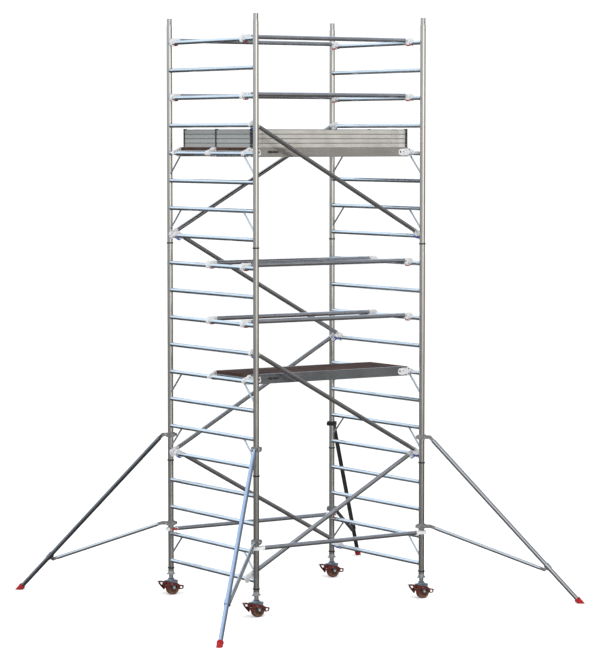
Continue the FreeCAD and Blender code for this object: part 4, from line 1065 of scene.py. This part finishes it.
def add_floor():
    solid = Solid()
    half = FLOOR_HALF
    outline = [(-half, -half), (half, -half), (half, half), (-half, half)]
    solid.prism(outline, -FLOOR_THICK, -FLOOR_GAP, Matrix.Identity(4))
    mesh = bpy.data.meshes.new("studio_floor")
    mesh.from_pydata(solid.points, [], solid.faces)
    mesh.materials.append(floor_paint().material)
    made = bpy.data.objects.new("studio_floor", mesh)
    made.visible_glossy = False
    bpy.context.scene.collection.objects.link(made)


def add_studio():
    """A light tent: pale to the eye, bright above and towards the front, dark below the horizon."""
    world = bpy.data.worlds.new("studio")
    world.use_nodes = True
    bpy.context.scene.world = world
    tree = world.node_tree
    background = tree.nodes["Background"]

    def node(kind, **settings):
        made = tree.nodes.new(kind)
        for key, value in settings.items():
            setattr(made, key, value)
        return made

    def ramp(source, stops):
        made = node("ShaderNodeValToRGB")
        points = made.color_ramp.elements
        while len(points) < len(stops):
            points.new(0.5)
        for point, (position, colour) in zip(points, stops):
            point.position = position
            point.color = (*colour, 1)
        tree.links.new(source, made.inputs["Fac"])
        return made.outputs["Color"]

    def blend(factor, first, second):
        made = node("ShaderNodeMix", data_type="RGBA")
        tree.links.new(factor, made.inputs[0])
        tree.links.new(first, made.inputs[6])
        tree.links.new(second, made.inputs[7])
        return made.outputs[2]

    def towards(turn, low):
        """From 0 to 1 as a direction nears the bearing turned by an angle from the front."""
        made = node("ShaderNodeVectorMath", operation="DOT_PRODUCT")
        bearing = FRONT_BEARING + turn
        made.inputs[1].default_value = (math.sin(bearing), math.cos(bearing), 0)
        tree.links.new(direction, made.inputs[0])
        spread = node("ShaderNodeMapRange")
        spread.inputs["From Min"].default_value = low
        tree.links.new(made.outputs["Value"], spread.inputs["Value"])
        return spread.outputs["Result"]

    direction = node("ShaderNodeTexCoord").outputs["Generated"]
    facing_front = towards(0.0, -1.0)
    split = node("ShaderNodeSeparateXYZ")
    tree.links.new(direction, split.inputs[0])
    rise = node("ShaderNodeMapRange")
    rise.inputs["From Min"].default_value = -1.0
    tree.links.new(split.outputs["Z"], rise.inputs["Value"])

    horizon = ramp(facing_front, [
        (0.0, (0.30, 0.29, 0.28)), (0.35, (0.36, 0.34, 0.32)), (0.80, (0.58, 0.56, 0.53)),
        (1.0, (0.78, 0.76, 0.72)),
    ])
    side = ramp(towards(SIDE_TURN, 0.90), [(0.0, (0, 0, 0)), (0.6, (1, 1, 1))])
    pale_blue = node("ShaderNodeRGB")
    pale_blue.outputs[0].default_value = (0.58, 0.70, 0.80, 1)
    horizon = blend(side, horizon, pale_blue.outputs[0])
    strip = ramp(towards(STRIP_TURN, 0.86), [(0.0, (0, 0, 0)), (0.75, (1, 1, 1))])
    bright = node("ShaderNodeRGB")
    bright.outputs[0].default_value = (2.1, 2.05, 1.95, 1)
    horizon = blend(strip, horizon, bright.outputs[0])
    sky = ramp(towards(math.radians(90), -1.0), [
        (0.0, (0.17, 0.17, 0.18)), (0.24, (0.34, 0.35, 0.38)), (0.42, (0.72, 0.81, 0.94)),
        (0.75, (0.82, 0.98, 1.14)),
    ])
    ground = ramp(facing_front, [(0.0, (0.035, 0.040, 0.045)), (1.0, (0.16, 0.15, 0.145))])
    above = ramp(rise.outputs["Result"], [(0.505, (0, 0, 0)), (0.60, (1, 1, 1))])
    below = ramp(rise.outputs["Result"], [(0.43, (1, 1, 1)), (0.515, (0, 0, 0))])
    tent = blend(below, blend(above, horizon, sky), ground)

    white = node("ShaderNodeRGB")
    white.outputs[0].default_value = (WHITE, WHITE, WHITE, 1)
    seen = node("ShaderNodeLightPath")
    lit = blend(seen.outputs["Is Glossy Ray"], white.outputs[0], tent)
    tree.links.new(lit, background.inputs["Color"])
    background.inputs["Strength"].default_value = 1.0


def add_lamp(name, at, size, power, colour=(1, 1, 1)):
    data = bpy.data.lights.new(name, "AREA")
    data.shape = "DISK"
    data.size = size
    data.energy = power
    data.color = colour
    made = bpy.data.objects.new(name, data)
    made.location = at
    made.rotation_euler = (LAMPS_AIM - Vector(at)).to_track_quat("-Z", "Y").to_euler()
    made.visible_glossy = False
    bpy.context.scene.collection.objects.link(made)


finish_cad_nodes()
weld_beads()
claw_rivets()
hook_rivets()
beam_rivets()
deck_screws()
hatch_fittings()
toe_board_trim()
castor_wheels()
castor_fittings()
threaded_stems()
clamp_bolts()
foot_ribs()
arm_end_rivets()
add_camera()
add_floor()
add_studio()
add_lamp("key", (-9, -12, 14), 6.0, 2600, (1.0, 0.98, 0.95))
add_lamp("fill", (12, -10, 8), 7.0, 900, (0.92, 0.96, 1.0))
bpy.context.scene.view_settings.view_transform = "Standard"

bpy.context.view_layer.update()
